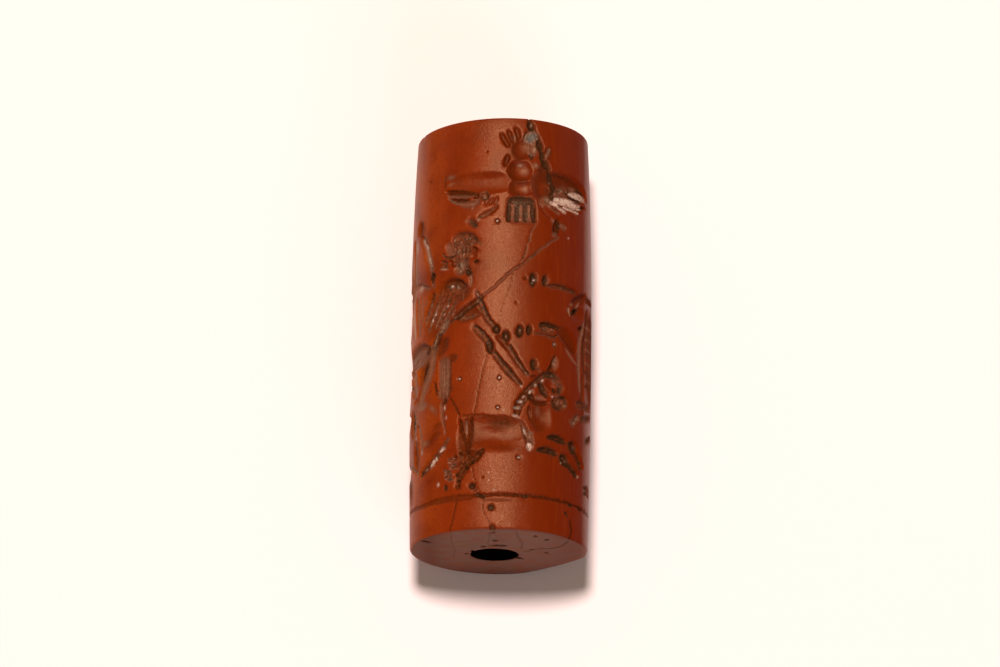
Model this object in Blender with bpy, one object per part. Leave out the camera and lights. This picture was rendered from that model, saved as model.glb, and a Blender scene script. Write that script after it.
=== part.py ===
"""Cylinder seal: a barrel of red jasper with a bore along its axis, carved in intaglio.

The seal lies on its side along Y, on a small flat along its underside.
Z = 0 is that flat, and the origin is below the middle of the seal.
The end with negative Y is the foot of the carved scene, the other end is its sky.

Every mark is the path of a cutting wheel or of a drill. A mark is laid out on the
unrolled wall in millimetres: first the distance across, round the wall from its top
line towards +X, then the distance along, from the foot end towards the sky end.
"""
import math

import bmesh
import bpy
from mathutils import Matrix, Vector

MM = 0.001

# Body, in metres
LENGTH = 0.0310
WIDEST_DIAMETER = 0.0132
REST_FLAT_DEPTH = 0.00025       # how much the flat underneath takes off the round wall
RIM_ROUNDING = 0.00018          # worn edge between the wall and each end
WALL_SIDES = 48
WALL_RINGS = 5
FOOT_END_SKEW = math.radians(-0.2)
SKY_END_SKEW = math.radians(1.3)

# Bore, drilled from both ends, in metres: the two drillings meet in the middle
BORE_MOUTH_DIAMETER = 0.0035
BORE_MEETING_DIAMETER = 0.0030
BORE_FOOT_OFFSET = Vector((-0.0003, 0.0, -0.00075))
BORE_SKY_OFFSET = Vector((0.0001, 0.0, 0.0002))
BORE_SIDES = 24

# Corner worn off the foot end, low on the +X side, in metres
WORN_CORNER_DIRECTION = math.radians(-42)
WORN_CORNER_INSET = 0.0010
WORN_CORNER_SETBACK = 0.00030

# Ground line under the figures, in metres from the foot end
GROUND_LINE_PLACE = 0.00255
GROUND_LINE_WIDTH = 0.00030
GROUND_LINE_DEPTH = 0.00012

# A cut is the lower cap of a long ellipsoid whose middle is this far above the wall,
# as a share of the ellipsoid's own half depth
CUT_LIFT = 0.5
CUT_SPREAD = 1.0 / math.sqrt(1.0 - CUT_LIFT ** 2)
GROOVE_SIDES = 6
HOLLOW_SIDES = 8

WIDEST_RADIUS = WIDEST_DIAMETER / 2
AXIS_HEIGHT = WIDEST_RADIUS - REST_FLAT_DEPTH
JASPER_RED = (0.30, 0.050, 0.014, 1.0)


def wall_radius(place):
    """Radius of the barrel at a place along it, from -1 at the foot end to 1 at the sky end."""
    swell = 1.0 - 0.002 * place - 0.037 * place ** 2 - 0.012 * place ** 3 - 0.005 * place ** 4
    return WIDEST_RADIUS * swell


def skewed(point):
    """Tilt the two ends a little, each its own way, by sliding material along the axis."""
    place = point.y / (LENGTH / 2)
    slope = math.tan(FOOT_END_SKEW) * (1 - place) / 2 + math.tan(SKY_END_SKEW) * (1 + place) / 2
    return Vector((point.x, point.y + point.x * slope, point.z))


def on_wall(across, along, height):
    """World point of a place on the unrolled wall; all three values in millimetres."""
    angle = across * MM / WIDEST_RADIUS
    axial = along * MM - LENGTH / 2
    radius = wall_radius(axial / (LENGTH / 2)) + height * MM
    round_wall = Vector((radius * math.sin(angle), axial, radius * math.cos(angle)))
    return skewed(round_wall) + Vector((0, 0, AXIS_HEIGHT))


# ---------------------------------------------------------------- strokes

def step(point, across, along):
    """The point moved across and along the wall."""
    return (point[0] + across, point[1] + along)


def between(start, end, share):
    """The point a share of the way from start to end."""
    return (start[0] + (end[0] - start[0]) * share, start[1] + (end[1] - start[1]) * share)


def ray(centre, reach, degrees):
    """The point at a distance and a direction from centre; 0 degrees points across, 90 along."""
    turn = math.radians(degrees)
    return (centre[0] + reach * math.cos(turn), centre[1] + reach * math.sin(turn))


def along_path(path, share):
    """Point and direction on a smooth path through the given points."""
    spans = len(path) - 1
    span = min(int(share * spans), spans - 1)
    local = share * spans - span
    start, end = Vector(path[span]), Vector(path[span + 1])
    before = Vector(path[span - 1]) if span > 0 else start * 2 - end
    after = Vector(path[span + 2]) if span + 2 <= spans else end * 2 - start
    leave, arrive = (end - before) / 2, (after - start) / 2
    point = (start * (2 * local ** 3 - 3 * local ** 2 + 1) + leave * (local ** 3 - 2 * local ** 2 + local)
             + end * (3 * local ** 2 - 2 * local ** 3) + arrive * (local ** 3 - local ** 2))
    heading = (start * (6 * local ** 2 - 6 * local) + leave * (3 * local ** 2 - 4 * local + 1)
               + end * (6 * local - 6 * local ** 2) + arrive * (3 * local ** 2 - 2 * local))
    return point, heading.normalized()


def groove(marks, path, width, depth, fullness=0.6, end_width=None, rings=None, sides=GROOVE_SIDES):
    """A wheel-cut stroke along a path: an ellipsoid bent along it, its ends tapering out."""
    end_width = width if end_width is None else end_width
    rings = rings or 2 + 2 * len(path)
    cut = bmesh.ops.create_uvsphere(marks, u_segments=sides, v_segments=rings, radius=1.0)
    for vert in cut["verts"]:
        share = (vert.co.z + 1) / 2
        girth = math.hypot(vert.co.x, vert.co.y)
        swell = girth ** (fullness - 1) if girth > 1e-4 else 0.0
        centre, heading = along_path(path, (share - 0.5) * CUT_SPREAD ** (1 / 3) + 0.5)
        half_width = (width + (end_width - width) * share) / 2 * CUT_SPREAD
        side = vert.co.x * swell * half_width
        height = (CUT_LIFT + vert.co.y * swell) * depth / (1 - CUT_LIFT)
        vert.co = on_wall(centre.x + heading.y * side, centre.y - heading.x * side, height)


def hollow(marks, centre, length, width, depth, degrees=90.0, fullness=1.0):
    """A rounded hollow: an ellipsoid sunk into the wall, its length turned to a direction."""
    ends = [ray(centre, length / 2, degrees + 180), ray(centre, length / 2, degrees)]
    groove(marks, ends, width, depth, fullness=fullness, rings=8, sides=HOLLOW_SIDES)


def drilled(marks, centre, diameter, depth):
    """A round drill hole."""
    ends = [step(centre, 0, -diameter / 2), step(centre, 0, diameter / 2)]
    groove(marks, ends, diameter, depth, fullness=1.0, rings=6)


def comb(marks, count, first, last, width, depth):
    """Equal strokes side by side; first and last are the (start, end) of the outer two."""
    for number in range(count):
        share = number / (count - 1)
        groove(marks, [between(first[0], last[0], share), between(first[1], last[1], share)], width, depth)


# ---------------------------------------------------------------- figures

def winged_figure(marks):
    """Crowned bust over a disc, with two spread wings, a feathered tail and two streamers."""
    head, disc = (1.55, 28.7), (1.2, 26.75)
    hollow(marks, head, 1.9, 1.6, 0.42)
    comb(marks, 3, ((0.55, 28.7), (-0.15, 29.7)), ((1.3, 29.4), (1.1, 30.15)), 0.5, 0.36)
    groove(marks, [step(disc, -0.9, 1.4), step(disc, -1.1, 0.4)], 0.5, 0.30)
    drilled(marks, disc, 1.6, 0.45)
    groove(marks, [step(disc, 0, -0.6), step(disc, 0.05, -2.0)], 1.3, 0.42)
    comb(marks, 4, ((0.75, 24.6), (0.45, 22.9)), ((1.95, 24.6), (2.35, 22.9)), 0.5, 0.34)
    groove(marks, [(0.5, 24.55), (1.3, 24.65), (2.2, 24.5)], 0.35, 0.38)
    # wing towards -X
    hollow(marks, (-1.8, 25.9), 5.1, 1.7, 0.40, degrees=180, fullness=0.75)
    comb(marks, 3, ((-3.0, 26.35), (-4.6, 26.55)), ((-2.9, 25.2), (-4.5, 25.75)), 0.42, 0.36)
    groove(marks, [(-4.5, 25.5), (-3.4, 24.9), (-2.0, 24.6)], 0.6, 0.34)
    comb(marks, 3, ((-1.5, 25.1), (-2.1, 24.4)), ((-0.3, 24.9), (-0.8, 24.2)), 0.4, 0.28)
    # wing towards +X
    hollow(marks, (4.9, 25.9), 5.6, 2.1, 0.42, degrees=-4)
    comb(marks, 5, ((5.2, 26.1), (7.9, 25.85)), ((3.3, 24.8), (4.5, 23.95)), 0.45, 0.40)
    # streamers
    groove(marks, [(-0.3, 24.3), (-1.0, 23.6), (-1.9, 23.2)], 0.4, 0.25)
    drilled(marks, (-2.15, 22.95), 0.8, 0.25)
    groove(marks, [(3.0, 24.5), (3.5, 23.8), (4.1, 23.1)], 0.4, 0.25)
    hollow(marks, (4.6, 22.9), 1.2, 0.9, 0.28, degrees=45)


def fissure(marks):
    """Chipped crack running down from the sky end beside the head."""
    groove(marks, [(2.0, 31.0), (2.4, 29.9), (3.1, 28.8), (3.5, 27.8), (3.8, 26.4)], 0.65, 0.25)


def limb(marks, path, width, end_width, depth):
    """A leg that tapers to its foot, with a drilled knob at its middle joint."""
    groove(marks, path, width, depth, end_width=end_width)
    drilled(marks, path[len(path) // 2], width * 1.1, depth * 1.15)


def bearded_beast(marks):
    """Rampant winged beast on the -X side, with a capped, bearded head."""
    face = (-2.9, 20.9)
    hollow(marks, face, 2.3, 1.5, 0.40, degrees=80)
    groove(marks, [(-4.0, 21.6), (-3.0, 22.1), (-1.8, 21.4)], 0.4, 0.34)
    groove(marks, [(-4.1, 21.4), (-4.2, 20.5), (-4.7, 19.85)], 0.5, 0.30)
    groove(marks, [step(face, -0.2, -0.9), step(face, 0.55, -2.1)], 0.9, 0.36, end_width=0.4)
    # shoulder and folded wing
    hollow(marks, (-3.6, 17.7), 2.9, 1.9, 0.45, degrees=10)
    hollow(marks, (-4.5, 16.6), 3.9, 2.4, 0.34, degrees=55)
    comb(marks, 6, ((-2.7, 17.4), (-4.3, 15.2)), ((-5.0, 18.3), (-6.5, 16.2)), 0.34, 0.48)
    # forelegs reaching across to the walking animal
    limb(marks, [(-1.9, 17.8), (-1.2, 16.2), (-0.2, 14.7), (0.8, 13.2), (2.0, 11.4)], 0.75, 0.32, 0.32)
    limb(marks, [(-2.8, 16.2), (-1.8, 14.9), (-0.75, 13.7), (0.4, 12.0), (1.7, 10.4)], 0.75, 0.32, 0.32)
    # belly, crossed bands and the fringed panel in front of it
    hollow(marks, (-7.0, 13.0), 3.2, 1.7, 0.36, degrees=0)
    groove(marks, [(-5.3, 13.4), (-6.7, 11.1), (-7.7, 10.2)], 0.45, 0.32)
    groove(marks, [(-8.5, 11.9), (-6.6, 10.9), (-5.4, 9.6), (-4.6, 8.0)], 0.45, 0.32)
    comb(marks, 5, ((-4.75, 12.7), (-3.9, 12.9)), ((-4.7, 10.2), (-3.9, 10.2)), 0.34, 0.28)
    groove(marks, [(-4.2, 13.8), (-4.15, 10.5), (-4.2, 7.2)], 0.36, 0.24)
    # hind foot and tail
    groove(marks, [(-8.4, 9.6), (-7.6, 8.2), (-6.6, 6.4)], 0.5, 0.34)
    groove(marks, [(-3.9, 6.9), (-5.2, 5.6), (-6.8, 4.7)], 0.5, 0.30)
    # front edge of the raised wing
    groove(marks, [(-7.2, 23.5), (-6.4, 21.9), (-5.8, 20.2), (-5.5, 18.8)], 0.45, 0.30)


def maned_beast(marks):
    """Rampant beast on the +X side, facing the middle, its feathers in bands."""
    groove(marks, [(2.2, 18.5), (4.4, 18.3), (7.2, 18.45)], 0.36, 0.30)
    for hoof in ((2.25, 18.5), (3.2, 18.6), (1.3, 14.6), (1.95, 14.75)):
        drilled(marks, hoof, 0.55, 0.30)
    groove(marks, [(2.2, 14.6), (3.3, 15.15), (4.5, 15.25), (5.4, 14.7), (6.5, 13.6)], 0.45, 0.30, end_width=1.1)
    # head and open mouth
    hollow(marks, (6.6, 17.1), 2.5, 1.3, 0.36, degrees=30)
    groove(marks, [(5.4, 17.0), (6.3, 17.8), (7.9, 18.6)], 0.34, 0.36)
    groove(marks, [(6.3, 15.5), (7.3, 16.0)], 0.4, 0.30)
    # chest and banded feathers
    groove(marks, [(7.1, 15.6), (6.9, 12.5), (7.2, 8.6)], 0.7, 0.30)
    comb(marks, 5, ((7.6, 18.0), (12.6, 19.6)), ((7.4, 13.2), (11.2, 12.6)), 0.75, 0.42)


def walking_animal(marks):
    """Horned animal walking towards +X below the others, its neck and mane upright."""
    hollow(marks, (-0.7, 7.05), 4.9, 2.7, 0.55, degrees=-4, fullness=0.6)
    hollow(marks, (-2.3, 6.8), 3.2, 1.4, 0.45, degrees=80)
    hollow(marks, (2.9, 8.3), 3.3, 1.8, 0.45, degrees=95, fullness=0.8)
    groove(marks, [(2.7, 11.1), (3.6, 10.0)], 0.5, 0.34)
    # head, horn, ear and muzzle
    hollow(marks, (4.0, 10.6), 2.2, 1.0, 0.34, degrees=-60)
    hollow(marks, (4.8, 9.6), 1.1, 0.9, 0.34, degrees=0)
    groove(marks, [(3.2, 11.5), (3.6, 12.2), (4.2, 13.2)], 0.4, 0.28)
    groove(marks, [(2.65, 11.9), (2.35, 12.6)], 0.45, 0.28)
    # mane: short bars set across the crest of the neck
    crest = [(1.15, 8.3), (1.5, 9.7), (2.4, 10.8), (3.3, 11.5)]
    for bar in range(7):
        place, heading = along_path(crest, bar / 6)
        normal = Vector((-heading.y, heading.x))
        groove(marks, [tuple(place - normal * 0.25), tuple(place + normal * 0.35)], 0.34, 0.24, rings=5)
    # forelegs stretched out, and the bent hind leg
    for shoulder, knee, hoof in (((2.6, 7.0), (5.4, 6.8), (7.1, 5.6)), ((1.9, 6.0), (4.9, 5.7), (6.9, 4.6))):
        limb(marks, [shoulder, knee, hoof], 0.5, 0.38, 0.30)
        drilled(marks, hoof, 0.5, 0.30)
    groove(marks, [(-1.2, 5.8), (-2.3, 5.0), (-3.0, 4.0), (-3.1, 2.8)], 0.55, 0.30, end_width=0.4)
    comb(marks, 4, ((-2.7, 5.6), (-4.2, 5.2)), ((-3.2, 3.9), (-5.0, 3.4)), 0.36, 0.2)


def hindquarters(marks, side):
    """Back of one rampant beast, on the far side of the seal: flank, haunch, hind legs, tail."""
    flank = (side * 10.4, 12.0)
    hollow(marks, flank, 5.4, 2.2, 0.48, degrees=90 + side * 12)
    haunch = step(flank, side * 0.9, -3.6)
    hollow(marks, haunch, 2.6, 2.3, 0.48)
    for stride in (-0.9, 0.9):
        hock = step(haunch, side * (0.8 + stride), -3.0)
        limb(marks, [haunch, hock, step(hock, -side * 0.5, -1.5), step(hock, -side * 1.5, -2.1)], 0.8, 0.4, 0.3)
    groove(marks, [step(haunch, side, 0.6), step(haunch, side * 3.0, 2.2), step(haunch, side * 3.2, 5.4),
                   step(haunch, side * 2.2, 6.4)], 0.45, 0.28)


def raised_wing(marks, side):
    """Wing of a rampant beast, raised behind it: long feathers fanned from the shoulder."""
    shoulder = (side * 8.0, 16.4)
    for feather in range(6):
        lean = 90 - side * (4 + 13 * feather)
        reach = 6.6 - 0.35 * feather
        groove(marks, [ray(shoulder, 1.6, lean), ray(shoulder, reach, lean)], 0.7, 0.36, end_width=0.85)


# ---------------------------------------------------------------- solids

def new_object(name, mesh_builder):
    """Add an object whose mesh is what mesh_builder leaves."""
    mesh = bpy.data.meshes.new(name)
    mesh_builder.to_mesh(mesh)
    mesh_builder.free()
    thing = bpy.data.objects.new(name, mesh)
    bpy.context.scene.collection.objects.link(thing)
    return thing


def wall_profile():
    """Outline from the middle of the foot end, along the wall, to the middle of the sky end."""
    half = LENGTH / 2
    outline = [(0.0, -half)]
    stations = [-half + RIM_ROUNDING]
    ground = -half + GROUND_LINE_PLACE
    stations += [ground - GROUND_LINE_WIDTH / 2, ground, ground + GROUND_LINE_WIDTH / 2]
    stations += [ground + (half - RIM_ROUNDING - ground) * (ring + 1) / (WALL_RINGS + 1)
                 for ring in range(WALL_RINGS)]
    stations.append(half - RIM_ROUNDING)
    outline.append((wall_radius(-1) - RIM_ROUNDING, -half))
    for station in stations:
        depth = GROUND_LINE_DEPTH if station == ground else 0.0
        outline.append((wall_radius(station / half) - depth, station))
    outline += [(wall_radius(1) - RIM_ROUNDING, half), (0.0, half)]
    return outline


def cut_flat(body, point, normal):
    """Cut off what lies beyond a plane and close the cut with one flat face."""
    everything = body.verts[:] + body.edges[:] + body.faces[:]
    result = bmesh.ops.bisect_plane(body, geom=everything, dist=1e-7, plane_co=point, plane_no=normal,
                                    clear_outer=True)
    rim = [item for item in result["geom_cut"] if isinstance(item, bmesh.types.BMEdge)]
    bmesh.ops.contextual_create(body, geom=rim)


def make_body():
    """The uncarved barrel, with its rest flat and its worn corner."""
    body = bmesh.new()
    corners = [body.verts.new((radius, station, 0)) for radius, station in wall_profile()]
    chain = [body.edges.new(pair) for pair in zip(corners, corners[1:])]
    bmesh.ops.spin(body, geom=corners + chain, axis=(0, 1, 0), cent=(0, 0, 0), steps=WALL_SIDES,
                   angle=math.tau, use_merge=True)
    bmesh.ops.remove_doubles(body, verts=body.verts[:], dist=1e-6)
    bmesh.ops.recalc_face_normals(body, faces=body.faces[:])
    for vert in body.verts:
        vert.co = skewed(vert.co) + Vector((0, 0, AXIS_HEIGHT))
    cut_flat(body, (0, 0, 0), (0, 0, -1))
    outward = Vector((math.cos(WORN_CORNER_DIRECTION), 0, math.sin(WORN_CORNER_DIRECTION)))
    start = outward * (wall_radius(-1) - WORN_CORNER_INSET) + Vector((0, -LENGTH / 2, AXIS_HEIGHT))
    slope = outward * WORN_CORNER_SETBACK - Vector((0, WORN_CORNER_INSET, 0))
    cut_flat(body, start, slope.normalized())
    return new_object("seal", body)


def make_bore():
    """Cutter of the bore: one tapering drilling from each end, meeting in the middle."""
    bore = bmesh.new()
    reach = LENGTH / 2 + 1 * MM
    axis = Vector((0, 0, AXIS_HEIGHT))
    for end, offset in ((-1, BORE_FOOT_OFFSET), (1, BORE_SKY_OFFSET)):
        outside = axis + offset + Vector((0, end * reach, 0))
        inside = axis - Vector((0, end * 0.3 * MM, 0))
        run = outside - inside
        turn = Vector((0, 0, 1)).rotation_difference(run).to_matrix().to_4x4()
        bmesh.ops.create_cone(bore, cap_ends=True, segments=BORE_SIDES, radius1=BORE_MEETING_DIAMETER / 2,
                              radius2=BORE_MOUTH_DIAMETER / 2, depth=run.length,
                              matrix=Matrix.Translation((outside + inside) / 2) @ turn)
    return new_object("bore_cutter", bore)


def make_marks(name, *figures):
    """Cutter that holds the strokes of one or more figures."""
    marks = bmesh.new()
    for figure in figures:
        figure(marks)
    bmesh.ops.recalc_face_normals(marks, faces=marks.faces[:])
    return new_object(name, marks)


def red_jasper():
    """Polished red-brown jasper."""
    material = bpy.data.materials.new("red_jasper")
    material.use_nodes = True
    shader = material.node_tree.nodes["Principled BSDF"]
    shader.inputs["Base Color"].default_value = JASPER_RED
    shader.inputs["Roughness"].default_value = 0.32
    shader.inputs["Metallic"].default_value = 0.0
    return material


def main():
    for thing in list(bpy.data.objects):
        bpy.data.objects.remove(thing)
    seal = make_body()
    cutters = [
        make_bore(),
        make_marks("winged_figure_cutter", winged_figure, fissure),
        make_marks("bearded_beast_cutter", bearded_beast),
        make_marks("maned_beast_cutter", maned_beast),
        make_marks("walking_animal_cutter", walking_animal),
        make_marks("far_side_cutter", lambda marks: hindquarters(marks, -1),
                   lambda marks: hindquarters(marks, 1), lambda marks: raised_wing(marks, -1)),
    ]
    for cutter in cutters:
        cutter.hide_render = True
        cutter.display_type = "WIRE"
        cut = seal.modifiers.new(cutter.name, "BOOLEAN")
        cut.operation = "DIFFERENCE"
        cut.solver = "EXACT"
        cut.use_self = True
        cut.object = cutter
    seal.data.materials.append(red_jasper())
    seal.data.shade_smooth()
    seal.data.set_sharp_from_angle(angle=math.radians(32))


main()
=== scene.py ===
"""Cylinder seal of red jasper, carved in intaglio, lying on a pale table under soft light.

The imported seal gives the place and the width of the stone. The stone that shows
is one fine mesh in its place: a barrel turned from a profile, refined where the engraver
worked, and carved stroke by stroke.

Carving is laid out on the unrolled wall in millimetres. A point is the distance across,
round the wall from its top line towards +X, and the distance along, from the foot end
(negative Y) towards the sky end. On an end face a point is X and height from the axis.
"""
import logging
import math
from abc import ABC, abstractmethod
from collections.abc import Iterable
from dataclasses import dataclass, fields, replace
from enum import Enum
from functools import cached_property

import bmesh
import bpy
import numpy as np
from mathutils import Matrix, Vector, noise


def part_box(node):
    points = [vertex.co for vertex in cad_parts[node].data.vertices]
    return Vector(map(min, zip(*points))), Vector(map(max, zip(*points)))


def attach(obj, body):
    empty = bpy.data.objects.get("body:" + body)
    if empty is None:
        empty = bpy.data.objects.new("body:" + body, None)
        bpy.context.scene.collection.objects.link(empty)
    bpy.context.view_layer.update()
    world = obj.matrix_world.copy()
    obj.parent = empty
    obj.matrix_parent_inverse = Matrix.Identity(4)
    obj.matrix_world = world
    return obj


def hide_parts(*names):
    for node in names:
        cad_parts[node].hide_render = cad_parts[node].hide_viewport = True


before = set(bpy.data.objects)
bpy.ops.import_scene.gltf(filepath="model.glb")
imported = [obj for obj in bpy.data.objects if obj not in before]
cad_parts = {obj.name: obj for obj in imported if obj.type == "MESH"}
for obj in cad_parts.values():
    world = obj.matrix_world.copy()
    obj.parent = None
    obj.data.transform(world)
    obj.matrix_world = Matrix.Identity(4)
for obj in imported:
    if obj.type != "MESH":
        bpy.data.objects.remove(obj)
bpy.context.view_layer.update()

MM = 0.001
Point = tuple[float, float]
Colour = tuple[float, float, float, float]
Box = tuple[float, float, float, float]
Socket = bpy.types.NodeSocket
log = logging.getLogger("seal")


# ------------------------ places on the surface

def step(point: Point, across: float, along: float) -> Point:
    """Return the point moved across and along the surface."""
    return (point[0] + across, point[1] + along)


def between(start: Point, end: Point, share: float) -> Point:
    """Return the point a share of the way from start to end."""
    return (start[0] + (end[0] - start[0]) * share, start[1] + (end[1] - start[1]) * share)


def ray(centre: Point, reach: float, degrees: float) -> Point:
    """Return the point at a distance and direction from centre; 0 points across, 90 along."""
    turn = math.radians(degrees)
    return (centre[0] + reach * math.cos(turn), centre[1] + reach * math.sin(turn))


def smooth_path(path: tuple[Point, ...], pieces: int = 8) -> np.ndarray:
    """Sample a smooth curve through a few points.

    Args:
        path: points that the curve passes through, in millimetres.
        pieces: straight pieces between each pair of points.

    Returns:
        An array of points, two numbers each.
    """
    knots = np.array(path, float)
    if len(knots) == 2:
        pieces = 2
    padded = np.vstack([2 * knots[0] - knots[1], knots, 2 * knots[-1] - knots[-2]])
    samples = []
    for span in range(len(knots) - 1):
        before, start, end, after = padded[span:span + 4]
        for piece in range(pieces):
            t = piece / pieces
            samples.append(0.5 * (2 * start + (end - before) * t
                                  + (2 * before - 5 * start + 4 * end - after) * t ** 2
                                  + (3 * start - before - 3 * end + after) * t ** 3))
    samples.append(knots[-1])
    return np.array(samples)


def spaced(line: np.ndarray, gap: float) -> np.ndarray:
    """Return points at about equal gaps along a line of points."""
    runs = np.linalg.norm(np.diff(line, axis=0), axis=1)
    travelled = np.concatenate([[0.0], np.cumsum(runs)])
    count = max(2, int(round(travelled[-1] / gap)) + 1)
    wanted = np.linspace(0.0, travelled[-1], count)
    return np.stack([np.interp(wanted, travelled, line[:, axis]) for axis in (0, 1)], axis=1)


def ease(values: np.ndarray, low: float, high: float) -> np.ndarray:
    """Return 0 below low and 1 above high, with a smooth step between."""
    t = np.clip((values - low) / (high - low), 0.0, 1.0)
    return t * t * (3 - 2 * t)


@dataclass(frozen=True)
class Pattern:
    """Pattern of smooth noise: the size of its lumps in millimetres, and a shift that picks it."""

    size: float
    shift: float

    def at(self, points: np.ndarray) -> np.ndarray:
        """Return the noise, from about -1 to 1, at each place in millimetres."""
        return np.array([noise.noise(Vector(place)) for place in points / self.size + self.shift])


CRACK_TURNS = (Pattern(0.45, 5.5), Pattern(0.3, 9.5))
HAND_SWAY = (Pattern(0.55, 3.1), Pattern(0.55, 17.7))
EDGE_SWAY = (Pattern(0.17, 23.1), Pattern(0.17, 37.7))
COARSE_CHATTER = Pattern(0.19, 40.0)
FINE_CHATTER = Pattern(0.08, 51.0)
BORE_LUMPS = Pattern(1.1, 60.0)
POLISH_RIPPLE = Pattern(1.7, 71.0)
RIM_NICKS = Pattern(0.7, 83.0)


# ------------------------ marks of the tools

WHEEL_POWER = 1.3
DISC_POWER = 6
BALL_CURVE = 0.88
BALL_RIM = 0.346


class Tool(Enum):
    """Tool that makes a mark, named by the cross-section that it leaves."""

    BALL = "round bottom with a crisp edge"
    WHEEL = "narrow sharp bottom"
    DISC = "broad flat bottom with steep sides"
    PAD = "broad dip that runs out without an edge"

    def section(self, spread: np.ndarray) -> np.ndarray:
        """Return the depth, from 1 to 0, at a spread of 0 in the middle to 1 at the edge."""
        x = np.clip(spread, 0.0, 1.0)
        if self is Tool.WHEEL:
            return 1 - x ** WHEEL_POWER
        if self is Tool.DISC:
            return 1 - x ** DISC_POWER
        if self is Tool.PAD:
            return (1 - x ** 2) ** 2
        return (np.sqrt(1 - BALL_CURVE * x ** 2) - BALL_RIM) / (1 - BALL_RIM)


@dataclass(frozen=True)
class Finish:
    """State of the stone that a mark leaves, each value from 0 to 1. The dirt value also lays painted shade,
    the residue value painted highlights and sheen, and the bruise value painted glints.
    """

    dirt_and_shade: float = 0.0
    residue_and_highlight: float = 0.0
    bruise_and_glint: float = 0.0
    rough: float = 0.0
    dull: float = 0.0


CLEAN = Finish(dirt_and_shade=0.06, rough=0.12)
SHADED = Finish(dirt_and_shade=0.58, rough=0.15)
DARKENED = Finish(dirt_and_shade=0.80, rough=0.25)
WORN = Finish(dirt_and_shade=0.62, residue_and_highlight=0.22, rough=0.55)
GRIMY = Finish(dirt_and_shade=1.0, residue_and_highlight=0.10, rough=0.6)
HATCHED = Finish(dirt_and_shade=0.62, residue_and_highlight=0.36, bruise_and_glint=0.16, rough=0.9)
BRUISED = Finish(dirt_and_shade=0.20, residue_and_highlight=0.30, bruise_and_glint=0.66, rough=0.55)
ROSY = Finish(dirt_and_shade=0.10, residue_and_highlight=0.42, rough=0.15)
MUDDY = Finish(dirt_and_shade=0.36, rough=0.1)
PALE = Finish(dirt_and_shade=0.20, residue_and_highlight=0.50, bruise_and_glint=0.40, rough=0.4)
VEILED = Finish(dirt_and_shade=0.36, residue_and_highlight=0.34, rough=0.2)
CRUSTED = Finish(dirt_and_shade=0.45, residue_and_highlight=0.84, rough=0.25)
FILLED = Finish(dirt_and_shade=0.50, residue_and_highlight=0.62, rough=0.8)
SMEARED = Finish(dirt_and_shade=0.34, residue_and_highlight=0.52, rough=0.45)
CHALKY = Finish(dirt_and_shade=0.25, residue_and_highlight=0.48, rough=0.5)
ASHEN = Finish(dirt_and_shade=0.62, residue_and_highlight=0.50, rough=0.5)
SPLIT = Finish(dirt_and_shade=0.9, rough=0.1)
GLINT = Finish(bruise_and_glint=0.75, rough=0.3)
DULL = Finish(residue_and_highlight=0.20, rough=0.1, dull=1.0)
DULLER = Finish(dirt_and_shade=0.50, residue_and_highlight=0.10, rough=0.1, dull=1.0)
# Painted sheen: lilac residue colour stands in for the table's reflection on dulled stone at the sides.
LILAC_SHEEN = Finish(dirt_and_shade=0.28, residue_and_highlight=0.44, rough=0.12)
# Painted light: a pale pink wash laid where walls and bulges catch the lamp.
PAINTED_LIGHT = Finish(dirt_and_shade=0.14, residue_and_highlight=0.26, rough=0.15)
DUSKY = Finish(dirt_and_shade=0.56, residue_and_highlight=0.36, rough=0.14)
# Painted sheen: pale lilac that stands in for the table's reflection on the stone's side.
PAINTED_SHEEN = Finish(dirt_and_shade=0.05, residue_and_highlight=0.52, bruise_and_glint=0.32, rough=0.1)
PITTED = Finish(dirt_and_shade=0.76, rough=0.8)
SATIN = Finish(dirt_and_shade=0.16, rough=0.1, dull=0.8)
THREADED = Finish(dirt_and_shade=0.45, residue_and_highlight=0.22, rough=0.3)
FAINT = Finish(dirt_and_shade=0.55, residue_and_highlight=0.12, rough=0.3)
SMUDGED = Finish(dirt_and_shade=0.30, residue_and_highlight=0.30, rough=0.3)


@dataclass(frozen=True)
class Mark(ABC):
    """Something cut into the stone or left on it."""

    depth: float
    tool: Tool = Tool.BALL
    finish: Finish = WORN
    deepens: bool = False

    @abstractmethod
    def box(self) -> Box:
        """Return the lowest and highest place across, then along."""

    @abstractmethod
    def spread(self, places: np.ndarray) -> tuple[np.ndarray, np.ndarray]:
        """Measure places against the mark.

        Args:
            places: array of points on the surface.

        Returns:
            The spread, 0 in the middle and 1 at the edge, and the share of the
            full depth that the mark reaches there.
        """

    @abstractmethod
    def clearance(self, places: np.ndarray) -> np.ndarray:
        """Return how far outside the mark each place is, in millimetres, negative inside."""

    @property
    @abstractmethod
    def girth(self) -> float:
        """Return the mark's narrow width."""


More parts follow.
